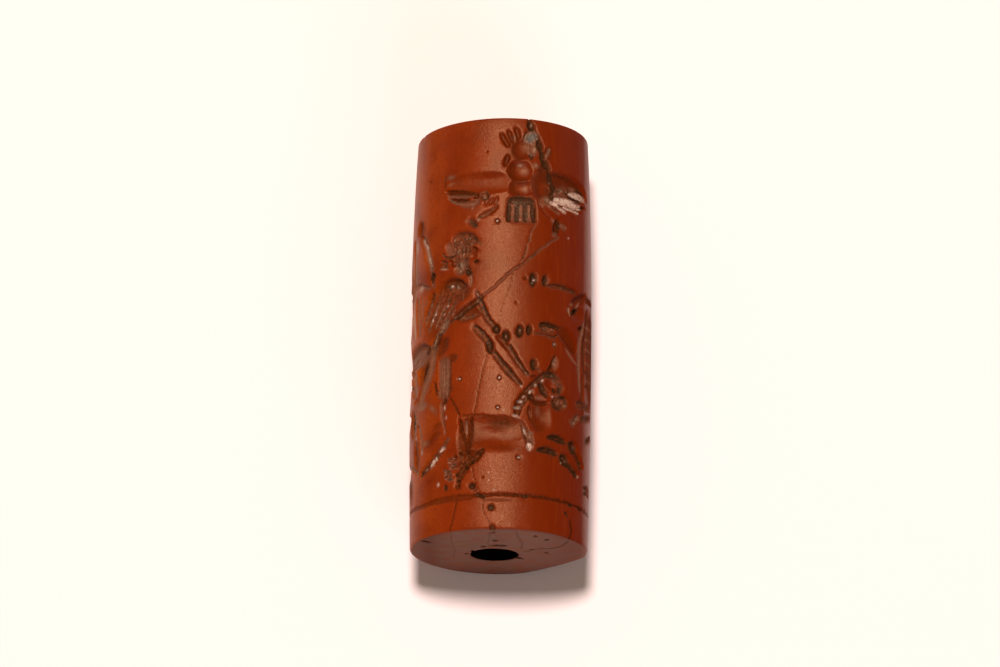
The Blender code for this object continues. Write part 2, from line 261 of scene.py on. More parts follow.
@dataclass(frozen=True)
class Groove(Mark):
    """Stroke along a smooth path, its ends tapering out."""

    path: tuple[Point, ...] = ()
    width: float = 0.4
    end_width: float | None = None
    fullness: float = 0.6

    @cached_property
    def line(self) -> np.ndarray:
        """Return the points of the stroke's middle line."""
        return smooth_path(self.path)

    @property
    def girth(self) -> float:
        """Return the stroke's width."""
        return max(self.width, self.end_width or 0.0)

    def box(self) -> Box:
        """Return the stroke's box; see Mark."""
        low, high = self.line.min(0) - self.girth / 2, self.line.max(0) + self.girth / 2
        return low[0], high[0], low[1], high[1]

    def measure(self, places: np.ndarray) -> tuple[np.ndarray, np.ndarray, np.ndarray]:
        """Return each place's distance from the path, half width there, and girth share."""
        starts, runs = self.line[:-1], np.diff(self.line, axis=0)
        away = places[:, None, :] - starts[None]
        length_squared = np.maximum((runs ** 2).sum(1), 1e-12)
        t = np.clip((away * runs).sum(2) / length_squared, 0.0, 1.0)
        distance = np.linalg.norm(away - t[..., None] * runs, axis=2)
        nearest = distance.argmin(1)
        row = np.arange(len(places))
        share = (nearest + t[row, nearest]) / len(runs)
        taper = np.sqrt(np.clip(1 - (2 * share - 1) ** 2, 0.0, 1.0)) ** self.fullness
        end_width = self.width if self.end_width is None else self.end_width
        half = (self.width + (end_width - self.width) * share) / 2 * taper
        return distance[row, nearest], half, taper

    def spread(self, places: np.ndarray) -> tuple[np.ndarray, np.ndarray]:
        """Measure places against the stroke; see Mark."""
        distance, half, taper = self.measure(places)
        return distance / np.maximum(half, 1e-6), taper

    def clearance(self, places: np.ndarray) -> np.ndarray:
        """Return how far outside the stroke each place is."""
        distance, half, _ = self.measure(places)
        return distance - half


@dataclass(frozen=True)
class Crack(Groove):
    """Thin split that wanders about its path."""

    tool: Tool = Tool.WHEEL
    finish: Finish = SPLIT
    fullness: float = 0.12
    wander: float = 0.05
    gap: float = 0.16

    @cached_property
    def line(self) -> np.ndarray:
        """Return the points of the crack's middle line, pushed off the path by turns."""
        line = spaced(smooth_path(self.path), self.gap)
        flat = np.column_stack([line, np.zeros(len(line))])
        return line + np.stack([pattern.at(flat) for pattern in CRACK_TURNS], axis=1) * self.wander


@dataclass(frozen=True)
class Hollow(Mark):
    """Rounded or blunt-cornered basin."""

    centre: Point = (0.0, 0.0)
    length: float = 1.0
    width: float = 1.0
    degrees: float = 90.0
    squareness: float = 2.0

    @property
    def girth(self) -> float:
        """Return the basin's narrow width."""
        return min(self.length, self.width)

    def box(self) -> Box:
        """Return the basin's box; see Mark."""
        reach = math.hypot(self.length, self.width) / 2
        u, v = self.centre
        return u - reach, u + reach, v - reach, v + reach

    def spread(self, places: np.ndarray) -> tuple[np.ndarray, np.ndarray]:
        """Measure places against the basin; see Mark."""
        turn = math.radians(self.degrees)
        away = places - np.array(self.centre)
        ahead = away @ np.array([math.cos(turn), math.sin(turn)])
        aside = away @ np.array([-math.sin(turn), math.cos(turn)])
        n = self.squareness
        spread = (np.abs(2 * ahead / self.length) ** n + np.abs(2 * aside / self.width) ** n) ** (1 / n)
        return spread, np.ones(len(places))

    def clearance(self, places: np.ndarray) -> np.ndarray:
        """Return how far outside the basin each place is."""
        spread, _ = self.spread(places)
        return (spread - 1) * self.girth / 2


# Short words for the engraver's usual moves. Paths are points; sizes are millimetres.

STAIN_DEPTH = 0.012
GLINT_DEPTH = 0.02


def groove(path: Iterable[Point], width: float, depth: float, finish: Finish = WORN, **more) -> Groove:
    """Return a stroke along a path."""
    return Groove(path=tuple(path), width=width, depth=depth, finish=finish, **more)


def grooves(finish: Finish, *strokes: tuple[Iterable[Point], float, float], **more) -> list[Mark]:
    """Return strokes of one finish, each given as its path, width and depth."""
    return [groove(*stroke, finish, **more) for stroke in strokes]


def smear(path: Iterable[Point], width: float, finish: Finish) -> Groove:
    """Return a stroke of dirt, residue or painted shade with next to no depth."""
    return groove(path, width, STAIN_DEPTH, finish)


def crack(path: Iterable[Point], width: float = 0.11, depth: float = 0.035, **more) -> Crack:
    """Return a thin split along a path."""
    return Crack(path=tuple(path), width=width, depth=depth, **more)


def hollow(centre: Point, length: float, width: float, depth: float, degrees: float = 90.0,
           finish: Finish = CLEAN, **more) -> Hollow:
    """Return a basin with its length turned to a direction."""
    return Hollow(centre=centre, length=length, width=width, depth=depth, degrees=degrees,
                  finish=finish, **more)


def hollows(finish: Finish, *basins: tuple[Point, float, float, float, float], **more) -> list[Mark]:
    """Return basins of one finish, each given as its centre, length, width, depth and direction."""
    return [hollow(*basin, finish, **more) for basin in basins]


def drilled(centre: Point, diameter: float, depth: float, finish: Finish = GRIMY, **more) -> Hollow:
    """Return a round drill hole."""
    return Hollow(centre=centre, length=diameter, width=diameter, depth=depth, finish=finish, **more)


def dabs(places: Iterable[Point], diameter: float, depth: float, finish: Finish, **more) -> list[Mark]:
    """Return equal round marks at several places."""
    return [drilled(place, diameter, depth, finish, **more) for place in places]


def ringed(centre: Point, diameter: float, depth: float) -> list[Mark]:
    """Return a small drilled pit with a dark rim and a bright middle."""
    return [drilled(centre, diameter, depth, DARKENED), drilled(centre, diameter * 0.6, GLINT_DEPTH, GLINT)]


def stain(centre: Point, length: float, width: float, degrees: float, finish: Finish) -> Hollow:
    """Return a patch of dirt, residue, bruised stone, painted shade or painted highlight with next to no
    depth.
    """
    return hollow(centre, length, width, STAIN_DEPTH, degrees, finish)


def stains(finish: Finish, *patches: tuple[Point, float, float, float]) -> list[Mark]:
    """Return stains of one finish, each given as its centre, length, width and direction."""
    return [stain(*patch, finish) for patch in patches]


def specks(places: Iterable[Point], length: float, width: float, degrees: float,
           finish: Finish) -> list[Mark]:
    """Return equal stains at several places."""
    return [stain(place, length, width, degrees, finish) for place in places]


def beside(path: Iterable[Point], distance: float) -> list[Point]:
    """Return a path moved sideways, to the left of its heading when the distance is positive."""
    knots = np.array(list(path), float)
    headings = np.gradient(knots, axis=0)
    headings /= np.linalg.norm(headings, axis=1, keepdims=True)
    moved = knots + distance * np.stack([-headings[:, 1], headings[:, 0]], axis=1)
    return [(float(u), float(v)) for u, v in moved]


def channel(path: Iterable[Point], width: float, depth: float, finish: Finish = WORN, **more) -> list[Mark]:
    """Return a stroke with a dirty line cut along its left edge."""
    knots = list(path)
    edge_line = groove(beside(knots, 0.3 * width), 0.36 * width, depth * 1.1, GRIMY)
    return [groove(knots, width, depth, finish, **more), edge_line]


def comb(count: int, first: tuple[Point, Point], last: tuple[Point, Point], width: float, depth: float,
         finish: Finish = GRIMY, **more) -> list[Mark]:
    """Return equal strokes side by side.

    Args:
        count: number of strokes.
        first: start and end of the stroke at one side.
        last: start and end of the stroke at the other side.
        width: width of each stroke.
        depth: depth of each stroke.
        finish: state of the stone in the strokes.
        more: further fields of Groove.

    Returns:
        The strokes in order.
    """
    strokes: list[Mark] = []
    for number in range(count):
        share = number / (count - 1)
        path = (between(first[0], last[0], share), between(first[1], last[1], share))
        strokes.append(groove(path, width, depth, finish, **more))
    return strokes


def hatching(path: Iterable[Point], gap: float, reach: float, width: float, depth: float, finish: Finish,
             lean: float = 90.0, **more) -> list[Mark]:
    """Return short strokes across a path, one after another.

    Args:
        path: points of the line that the strokes cross.
        gap: distance from one stroke to the next.
        reach: length of each stroke.
        width: width of each stroke.
        depth: depth of each stroke.
        finish: state of the stone in the strokes.
        lean: angle in degrees between the path and the strokes.
        more: further fields of Groove.

    Returns:
        The strokes in order.
    """
    line = spaced(smooth_path(tuple(path)), gap)
    headings = np.gradient(line, axis=0)
    strokes: list[Mark] = []
    for place, heading in zip(line, headings):
        turn = math.degrees(math.atan2(heading[1], heading[0])) + lean
        ends = (ray(tuple(place), -reach / 2, turn), ray(tuple(place), reach / 2, turn))
        strokes.append(groove(ends, width, depth, finish, **more))
    return strokes


# ------------------------ figures

class Figure(ABC):
    """Carved figure, or a kind of damage, made of marks.

    The order of the marks only matters where one of them deepens the cuts before it.
    """

    @abstractmethod
    def marks(self) -> list[Mark]:
        """Return all the marks."""


@dataclass(frozen=True)
class WingedFigure(Figure):
    """Crowned bust over a disc, with two spread wings, a feathered tail and two streamers."""

    face: Point = (1.4, 28.5)
    disc: Point = (1.25, 26.8)

    def marks(self) -> list[Mark]:
        """Return all the marks."""
        return self.bust() + self.body() + self.left_wing() + self.right_wing() + self.streamers()

    def bust(self) -> list[Mark]:
        """Return the marks of the head, its hair and its lobed crown."""
        face = self.face
        jaw = [step(face, 0.15, 0.7), step(face, -0.5, 0.4), step(face, -0.72, -0.1), step(face, -0.4, -0.6),
               step(face, 0.15, -0.7)]
        return [
            hollow(face, 1.7, 1.5, 0.34, finish=MUDDY),
            # Painted shade on the left side of the face's hollow.
            smear(jaw, 0.6, SHADED),
            *(groove([foot, tip], width, 0.28, SHADED) for foot, tip, width in (
                ((0.45, 28.65), (-0.18, 29.72), 0.5), ((0.78, 28.95), (0.36, 29.98), 0.42),
                ((1.22, 29.2), (0.98, 30.2), 0.5), ((1.6, 29.2), (1.85, 29.9), 0.36))),
            stain((0.87, 29.4), 0.8, 0.34, 100, SMEARED),
            groove([step(self.disc, -0.83, 1.3), step(self.disc, -1.13, 0.35)], 0.46, 0.26, SHADED),
            hollow(step(face, 0.85, 0.15), 1.5, 0.95, 0.2, 85, VEILED),
            *comb(3, ((1.9, 29.1), (2.35, 29.0)), ((1.85, 28.3), (2.4, 28.1)), 0.24, 0.22, CHALKY),
        ]

    def body(self) -> list[Mark]:
        """Return the marks of the disc, the waist and the feathered tail."""
        disc = self.disc
        rim = [step(disc, -0.35, 0.62), step(disc, -0.6, 0.1), step(disc, -0.45, -0.5),
               step(disc, 0.1, -0.72), step(disc, 0.65, -0.6)]
        waist = step(disc, 0.05, -1.35)
        return [
            hollow(disc, 1.75, 1.95, 0.52),
            # Painted shade on the left and lower wall of the disc's hollow, a painted sheen at its top, and
            # painted light on the right of the disc and the waist.
            smear(rim, 1.0, SHADED),
            stain(step(disc, 0.1, 0.5), 0.5, 0.9, 90, SMEARED),
            *stains(PAINTED_LIGHT, (step(disc, 0.45, 0.0), 0.9, 0.8, 90), (step(waist, 0.35, 0.0), 1.0, 0.7, 90)),
            hollow(waist, 1.35, 1.85, 0.46, squareness=2.6),
            # Painted shade on the left wall of the waist's hollow.
            smear([step(waist, -0.62, 0.5), step(waist, -0.5, -0.1), step(waist, -0.1, -0.5)], 0.8, SHADED),
            stain(step(waist, -0.1, -0.42), 0.4, 0.3, 90, GRIMY),
            hollow((1.35, 23.85), 2.15, 2.25, 0.24, squareness=5.0, finish=VEILED),
            groove([(0.4, 24.5), (1.3, 24.6), (2.35, 24.5)], 0.72, 0.42, GRIMY),
            *comb(4, ((0.52, 24.4), (0.42, 22.9)), ((2.22, 24.4), (2.34, 22.95)), 0.44, 0.36, GRIMY,
                  fullness=0.3),
            *(stain(place, length, 0.34, 90, finish) for place, length, finish in (
                ((0.74, 23.4), 0.8, CHALKY), ((1.46, 23.75), 0.7, SMEARED), ((1.3, 23.15), 0.4, FILLED),
                ((1.98, 23.95), 0.6, SMEARED), ((1.3, 24.7), 0.5, WORN), ((1.9, 24.5), 0.5, CHALKY),
                ((0.8, 24.5), 0.4, SMEARED))),
        ]

    def left_wing(self) -> list[Mark]:
        """Return the marks of the wing towards -X."""
        return [
            hollow((-1.85, 25.9), 4.8, 1.75, 0.34, 180, squareness=3.4),
            stain((-0.9, 26.4), 3.4, 0.7, 0, SATIN),
            stain((-3.6, 26.3), 1.9, 1.1, 0, MUDDY), stain((-4.1, 26.75), 1.1, 0.5, 0, DUSKY),
            stain((-4.1, 26.2), 0.9, 0.3, 8, VEILED),
            groove([(-4.56, 26.95), (-4.68, 26.5), (-4.6, 26.05)], 0.2, 0.08, SHADED),
            *grooves(DARKENED, ([(-2.1, 25.2), (-3.0, 25.35), (-3.7, 25.48), (-4.45, 25.62)], 0.5, 0.4),
                     ([(-4.2, 25.05), (-3.4, 24.8), (-2.5, 24.72)], 0.42, 0.34)),
            *grooves(VEILED, ([(-2.2, 25.0), (-3.2, 25.1), (-4.35, 25.32)], 0.3, 0.34),
                     ([(-3.4, 24.6), (-2.7, 24.4), (-2.0, 24.45), (-1.75, 24.75)], 0.5, 0.22)),
            # Painted highlight along the lit edge of the lower vanes.
            groove([(-4.3, 25.15), (-3.7, 24.72), (-2.9, 24.45)], 0.22, 0.16, ROSY),
            *stains(CHALKY, ((-2.35, 24.5), 0.6, 0.45, 0), ((-0.4, 24.4), 0.5, 0.26, 80),
                    ((-0.75, 23.95), 0.4, 0.26, 30)),
            stain((-2.25, 24.1), 0.3, 0.26, 0, HATCHED),
            drilled((-1.95, 25.0), 0.6, 0.3, DARKENED), drilled((-1.32, 24.95), 0.82, 0.34, WORN),
            stain((-1.3, 24.85), 0.45, 0.4, 0, FILLED),
            *comb(3, ((-1.0, 24.75), (-1.35, 24.2)), ((-0.35, 24.85), (-0.6, 24.2)), 0.34, 0.14, MUDDY),
        ]

    def right_wing(self) -> list[Mark]:
        """Return the marks of the wing towards +X, its vanes split and bruised."""
        return [
            hollow((2.98, 25.8), 2.6, 1.9, 0.46),
            # Painted shade on the left and upper walls of the wing's round hollow.
            smear([(3.0, 26.8), (2.6, 26.2), (2.6, 25.4), (2.95, 24.95)], 0.9, SHADED),
            stain((3.1, 26.3), 1.0, 0.8, 0, SHADED),
            *hollows(SHADED, ((5.0, 26.26), 5.3, 1.6, 0.52, -5), ((4.6, 25.3), 3.4, 1.7, 0.36, 12)),
            groove([(3.4, 26.7), (4.8, 26.75), (6.2, 26.5)], 0.4, 0.46, SHADED),
            stain((3.5, 25.6), 0.8, 1.2, 90, DARKENED),
            *stains(SMEARED, ((5.9, 26.1), 1.2, 0.6, 5), ((3.5, 24.8), 1.4, 0.9, -10)),
            *stains(CHALKY, ((4.6, 25.6), 2.2, 1.1, 30), ((3.6, 24.4), 0.9, 0.5, -30)),
            *comb(4, ((3.75, 25.1), (4.3, 25.95)), ((5.1, 25.35), (6.0, 26.1)), 0.26, 0.4, WORN),
            *comb(3, ((4.0, 25.3), (4.5, 25.85)), ((4.9, 25.4), (5.5, 25.95)), 0.2, 0.38, HATCHED),
            *(groove([root, tip], width, 0.36, BRUISED) for root, tip, width in (
                ((5.45, 25.7), (7.9, 25.82), 0.58), ((4.0, 24.98), (7.0, 24.98), 0.7),
                ((4.9, 24.58), (6.7, 24.5), 0.3), ((3.65, 24.68), (4.4, 24.6), 0.36),
                ((4.25, 24.52), (5.2, 24.2), 0.3))),
            groove([(3.8, 24.28), (4.5, 24.04)], 0.24, 0.22, HATCHED),
            *grooves(WORN, ([(6.3, 24.88), (7.5, 25.1)], 0.28, 0.3),
                     ([(5.1, 24.88), (5.9, 24.78)], 0.16, 0.4), ([(5.9, 24.72), (6.6, 24.8)], 0.14, 0.4)),
            *grooves(GRIMY, ([(6.2, 26.08), (7.0, 26.22), (7.75, 26.12)], 0.22, 0.34),
                     ([(5.3, 25.5), (6.1, 25.42), (6.7, 25.38), (7.15, 25.5)], 0.24, 0.46)),
            drilled((3.05, 24.62), 0.7, 0.16, FILLED),
        ]

    def streamers(self) -> list[Mark]:
        """Return the marks of the ribbons that fall on both sides of the tail."""
        return [
            groove([(-1.8, 23.35), (-1.2, 23.55), (-0.7, 23.8), (-0.3, 24.15)], 0.42, 0.2, SHADED),
            *grooves(WORN, ([(-1.7, 23.3), (-1.25, 23.45), (-0.9, 23.6)], 0.24, 0.2),
                     ([(-2.5, 23.15), (-2.15, 22.92), (-1.85, 22.55)], 0.6, 0.28)),
            groove([(-2.35, 23.05), (-1.9, 22.65)], 0.26, 0.32, GRIMY),
            *stains(CHALKY, ((-1.8, 23.15), 0.5, 0.45, 0), ((-2.68, 23.15), 0.4, 0.36, 0),
                    ((-1.1, 23.5), 0.5, 0.24, 30)),
            groove([(2.7, 24.5), (3.2, 23.88), (3.85, 23.4)], 0.3, 0.12, CLEAN),
            hollow((4.2, 22.85), 1.5, 0.7, 0.28, 78, DARKENED),
            hollow((4.4, 23.0), 0.7, 0.4, 0.32, 60, GRIMY),
            groove([(4.5, 23.1), (5.25, 23.0)], 0.46, 0.12, VEILED),
            *stains(SMEARED, ((4.6, 23.1), 0.6, 0.4, 30), ((4.05, 22.3), 0.6, 0.5, 0),
                    ((3.92, 23.32), 0.5, 0.4, 0)),
            stain((5.45, 22.3), 0.26, 0.2, 30, BRUISED),
        ]


@dataclass(frozen=True)
class BeardedBeast(Figure):
    """Rampant winged beast on the -X side, with a capped, bearded head."""

    def marks(self) -> list[Mark]:
        """Return all the marks."""
        return self.bust() + self.shoulder() + self.forelegs() + self.body() + self.rump() + self.staff()

    def bust(self) -> list[Mark]:
        """Return the marks of the head: a plain ball of a face, hatched cap, rolled hair and beard."""
        return [
            *hollows(WORN, ((-2.95, 20.8), 2.5, 1.6, 0.34, 78), ((-4.5, 19.95), 0.9, 0.3, 0.1, -12)),
            hollow((-3.95, 21.1), 1.5, 0.85, 0.24, 105, VEILED),
            *grooves(WORN, ([(-3.7, 21.6), (-3.2, 21.92), (-2.5, 21.92), (-1.75, 21.4)], 0.85, 0.42),
                     ([(-4.5, 20.68), (-4.0, 20.55), (-3.5, 20.65), (-3.1, 20.98)], 0.24, 0.34),
                     ([(-4.8, 20.4), (-4.2, 20.1)], 0.3, 0.22),
                     ([(-4.65, 20.95), (-4.25, 20.45)], 0.25, 0.22)),
            *hatching([(-3.6, 21.6), (-2.9, 21.75), (-2.1, 21.5)], 0.36, 0.75, 0.2, 0.42, WORN, lean=70),
            *specks([(-3.1, 21.55), (-2.62, 21.75), (-3.6, 21.8), (-2.25, 21.35)], 0.45, 0.3, 60, FILLED),
            *comb(4, ((-3.45, 21.3), (-3.35, 20.3)), ((-2.55, 21.2), (-2.5, 20.4)), 0.2, 0.4, SHADED),
            *specks([(-3.3, 20.9), (-2.85, 20.6), (-3.05, 21.25), (-3.75, 20.75), (-2.5, 20.9)], 0.6, 0.3,
                    80, CHALKY),
            *specks([(-2.95, 21.95), (-2.3, 21.75), (-3.4, 21.5), (-2.7, 20.25)], 0.5, 0.34, 20, PITTED),
            *comb(2, ((-4.1, 20.4), (-3.6, 20.1)), ((-3.9, 20.05), (-3.5, 19.8)), 0.2, 0.2, SHADED),
            stain((-4.5, 19.76), 0.9, 0.2, -12, PALE),
            *dabs([(-2.8, 21.0), (-2.75, 20.2)], 0.5, 0.4, DARKENED),
            drilled((-2.15, 20.45), 0.8, 0.36, CLEAN),
            groove([(-2.2, 21.05), (-1.75, 20.75)], 0.36, 0.32, SHADED),
            *grooves(GRIMY, ([(-2.05, 20.0), (-1.68, 19.94)], 0.24, 0.28),
                     ([(-2.62, 19.45), (-2.32, 18.92)], 0.36, 0.38)),
            hollow((-2.95, 19.75), 1.5, 1.0, 0.3, 60, ASHEN),
            *comb(4, ((-3.45, 20.1), (-2.8, 19.15)), ((-2.6, 20.0), (-2.15, 18.95)), 0.18, 0.36, WORN),
            stain((-3.2, 19.85), 0.7, 0.4, 60, HATCHED), stain((-3.0, 19.5), 0.5, 0.3, 60, CHALKY),
            groove([(-2.25, 18.95), (-2.2, 18.6), (-2.3, 18.1)], 0.2, 0.14, SMEARED),
        ]

    def shoulder(self) -> list[Mark]:
        """Return the marks of the domed shoulder and the scored wing below it."""
        return [
            *hollows(SHADED, ((-3.7, 17.9), 3.0, 1.9, 0.46, -6), ((-2.35, 16.0), 2.1, 0.95, 0.2, 14)),
            groove([(-4.4, 18.3), (-3.8, 18.62), (-3.1, 18.5), (-2.6, 18.1)], 0.6, 0.48, DARKENED),
            hollow((-3.4, 18.15), 1.7, 0.9, 0.5, -12, WORN),
            # Painted highlights on the rough floor of the shoulder's crescent.
            stain((-3.72, 18.3), 0.5, 0.34, 0, BRUISED), stain((-3.2, 18.15), 0.8, 0.5, -20, SMEARED),
            hollow((-4.7, 16.8), 5.0, 3.3, 0.3, 58, MUDDY, tool=Tool.PAD),
            *comb(5, ((-3.75, 17.9), (-3.95, 17.1)), ((-2.75, 17.9), (-2.9, 17.1)), 0.15, 0.34, WORN),
            *comb(3, ((-4.5, 18.2), (-4.9, 17.2)), ((-3.9, 18.0), (-4.2, 17.0)), 0.24, 0.4, WORN),
            *comb(5, ((-3.4, 17.2), (-4.6, 15.2)), ((-5.3, 18.1), (-6.2, 16.2)), 0.36, 0.44, WORN,
                  fullness=0.3),
            *comb(4, ((-3.7, 16.9), (-4.7, 15.1)), ((-5.5, 17.5), (-6.4, 15.9)), 0.24, 0.24, CHALKY),
            *(stain(place, length, width, 55, HATCHED if length > 0.55 else CHALKY)
              for place, length, width in (
                ((-4.15, 16.9), 0.5, 0.4), ((-5.25, 16.5), 0.8, 0.4), ((-4.95, 16.95), 0.4, 0.24),
                ((-4.45, 16.3), 0.6, 0.3), ((-3.65, 16.22), 0.36, 0.3), ((-3.5, 16.45), 0.3, 0.2),
                ((-5.6, 16.0), 0.8, 0.4), ((-5.9, 15.5), 0.6, 0.34), ((-6.4, 17.6), 0.6, 0.3),
                ((-5.9, 16.7), 0.6, 0.3), ((-4.7, 15.9), 0.5, 0.3), ((-4.25, 15.6), 0.4, 0.3))),
            *specks([(-5.22, 16.5), (-4.42, 16.3), (-5.55, 16.05), (-4.1, 16.9)], 0.34, 0.2, 50, BRUISED),
            hollow((-4.4, 15.4), 1.5, 0.8, 0.28, 50, ASHEN),
            groove([(-3.1, 15.7), (-2.3, 15.75), (-1.6, 16.0)], 0.3, 0.2, WORN),
        ]

    def forelegs(self) -> list[Mark]:
        """Return the marks of the two forelegs, each with a drilled joint."""
        far_thigh = [(-1.65, 17.1), (-1.3, 16.3), (-1.0, 15.6), (-0.55, 14.9)]
        far_shin = [(0.5, 13.6), (0.78, 13.0), (1.3, 12.2), (2.0, 11.3)]
        near_shin = [(-0.6, 13.1), (0.1, 12.15), (0.75, 11.35), (1.45, 10.6)]
        cuts: list[Mark] = [
            groove([(-1.78, 17.75), (-1.6, 17.0)], 0.32, 0.26, HATCHED),
            *channel(far_thigh, 0.52, 0.28),
            *self.grit(far_thigh),
            groove([(-0.35, 14.3), (0.2, 13.75), (0.6, 13.15)], 0.5, 0.26, SHADED),
        ]
        for joint, length, degrees in (
                ((-0.35, 14.78), 0.85, 100), ((0.35, 14.25), 0.95, 95), ((-0.8, 13.5), 1.25, 100)):
            cuts += [hollow(joint, length, 0.6, 0.36, degrees, GRIMY),
                     stain(joint, 0.4, 0.26, degrees, FILLED)]
        return cuts + [
            *channel(far_shin, 0.52, 0.28, end_width=0.34),
            *self.grit(far_shin),
            *channel([(-2.0, 15.1), (-1.35, 14.4), (-0.85, 13.7)], 0.58, 0.28),
            *channel(near_shin, 0.58, 0.3, end_width=0.4),
            *self.grit(near_shin),
            stain((1.5, 10.58), 0.3, 0.2, 130, BRUISED), stain((1.9, 11.42), 0.3, 0.18, 130, HATCHED),
        ]

    @staticmethod
    def grit(path: list[Point]) -> list[Mark]:
        """Return the small pale specks that sit in the bottom of a stroke."""
        places = [(float(u), float(v)) for u, v in spaced(smooth_path(tuple(path)), 0.42)[1:-1]]
        return specks(places[::2], 0.26, 0.17, 130, CHALKY) + specks(places[1::2], 0.26, 0.17, 130, FILLED)

    def body(self) -> list[Mark]:
        """Return the marks of the belly, the crossed limbs and the fringed flank."""
        return [
            *hollows(DUSKY, ((-7.3, 13.7), 4.4, 1.9, 0.3, -4), ((-5.4, 13.75), 1.3, 0.9, 0.3, 70)),
            stain((-8.3, 13.5), 2.0, 1.6, 60, LILAC_SHEEN),
            *grooves(SHADED, ([(-9.3, 13.9), (-8.0, 14.2), (-6.8, 14.35), (-5.9, 14.2)], 0.5, 0.36),
                     ([(-9.6, 12.7), (-8.6, 13.1), (-7.6, 13.6), (-6.6, 13.7)], 0.4, 0.36),
                     ([(-5.75, 12.9), (-6.2, 11.8), (-6.8, 10.8)], 0.24, 0.26),
                     ([(-4.42, 9.6), (-4.35, 8.7), (-4.25, 7.9)], 0.14, 0.2)),
            *grooves(LILAC_SHEEN, ([(-8.6, 13.3), (-7.4, 13.8), (-6.2, 13.95)], 0.3, 0.3),
                     ([(-8.9, 12.4), (-8.0, 12.9), (-7.0, 13.3)], 0.3, 0.3),
                     ([(-5.35, 13.5), (-5.6, 12.6), (-6.1, 11.6), (-6.7, 10.7), (-7.0, 10.0)], 0.85, 0.22),
                     ([(-8.6, 12.8), (-8.1, 12.4), (-7.9, 11.8), (-7.5, 10.9)], 1.0, 0.2)),
            hollow((-5.95, 13.9), 0.7, 0.45, 0.32, 60, GRIMY),
            stain((-5.6, 14.1), 0.5, 0.3, 60, FILLED),
            *grooves(DARKENED, ([(-4.7, 15.2), (-5.0, 14.5), (-5.5, 13.8)], 0.8, 0.28),
                     ([(-5.3, 11.4), (-5.15, 10.85), (-5.0, 10.3)], 0.26, 0.18),
                     ([(-3.86, 12.9), (-3.84, 11.5), (-3.95, 9.95)], 0.24, 0.28)),
            groove([(-4.9, 15.1), (-5.25, 14.3), (-5.6, 13.7)], 0.2, 0.26, SMEARED),
            hollow((-6.5, 12.2), 2.2, 1.3, 0.36, 66, MUDDY),
            groove([(-6.0, 13.15), (-6.1, 12.4), (-6.4, 11.6)], 0.6, 0.44, DARKENED, tool=Tool.PAD),
            groove([(-6.15, 12.7), (-6.2, 12.1)], 0.3, 0.46, GRIMY),
            hollow((-7.6, 10.45), 1.1, 0.6, 0.16, 20, CLEAN, tool=Tool.PAD),
            *grooves(VEILED, ([(-9.0, 11.9), (-8.3, 11.4), (-7.9, 10.8)], 0.5, 0.22),
                     ([(-4.62, 9.8), (-4.6, 8.9), (-4.4, 8.0), (-4.2, 7.3)], 0.2, 0.16)),
            hollow((-7.0, 9.95), 2.1, 0.9, 0.16, -8, LILAC_SHEEN, tool=Tool.PAD),
            hollow((-4.35, 11.5), 3.5, 1.05, 0.18, 90, DUSKY, squareness=4.0),
            *(groove([(across, 13.0), (across + 0.04, 11.4), (across - 0.04, 9.95)], 0.15, 0.26, finish)
              for across, finish in (
                (-4.74, DUSKY), (-4.56, DARKENED), (-4.38, VEILED), (-4.2, DARKENED), (-4.04, DUSKY))),
            *specks([(-4.3, 12.3), (-4.2, 11.2), (-4.45, 10.6), (-4.1, 10.3), (-4.5, 11.8)], 0.34, 0.16, 90,
                    SMEARED),
            hollow((-4.5, 13.9), 1.7, 1.0, 0.18, 60, SHADED, tool=Tool.PAD),
            hollow((-3.7, 12.9), 1.0, 0.7, 0.16, 0, SHADED),
            hollow((-4.3, 9.75), 0.6, 0.5, 0.2, 80, DARKENED),
            *stains(PALE, ((-4.3, 9.25), 0.6, 0.24, 92), ((-4.15, 8.5), 0.45, 0.2, 92)),
            stain((-4.3, 7.5), 0.9, 0.24, 92, SMEARED),
        ]

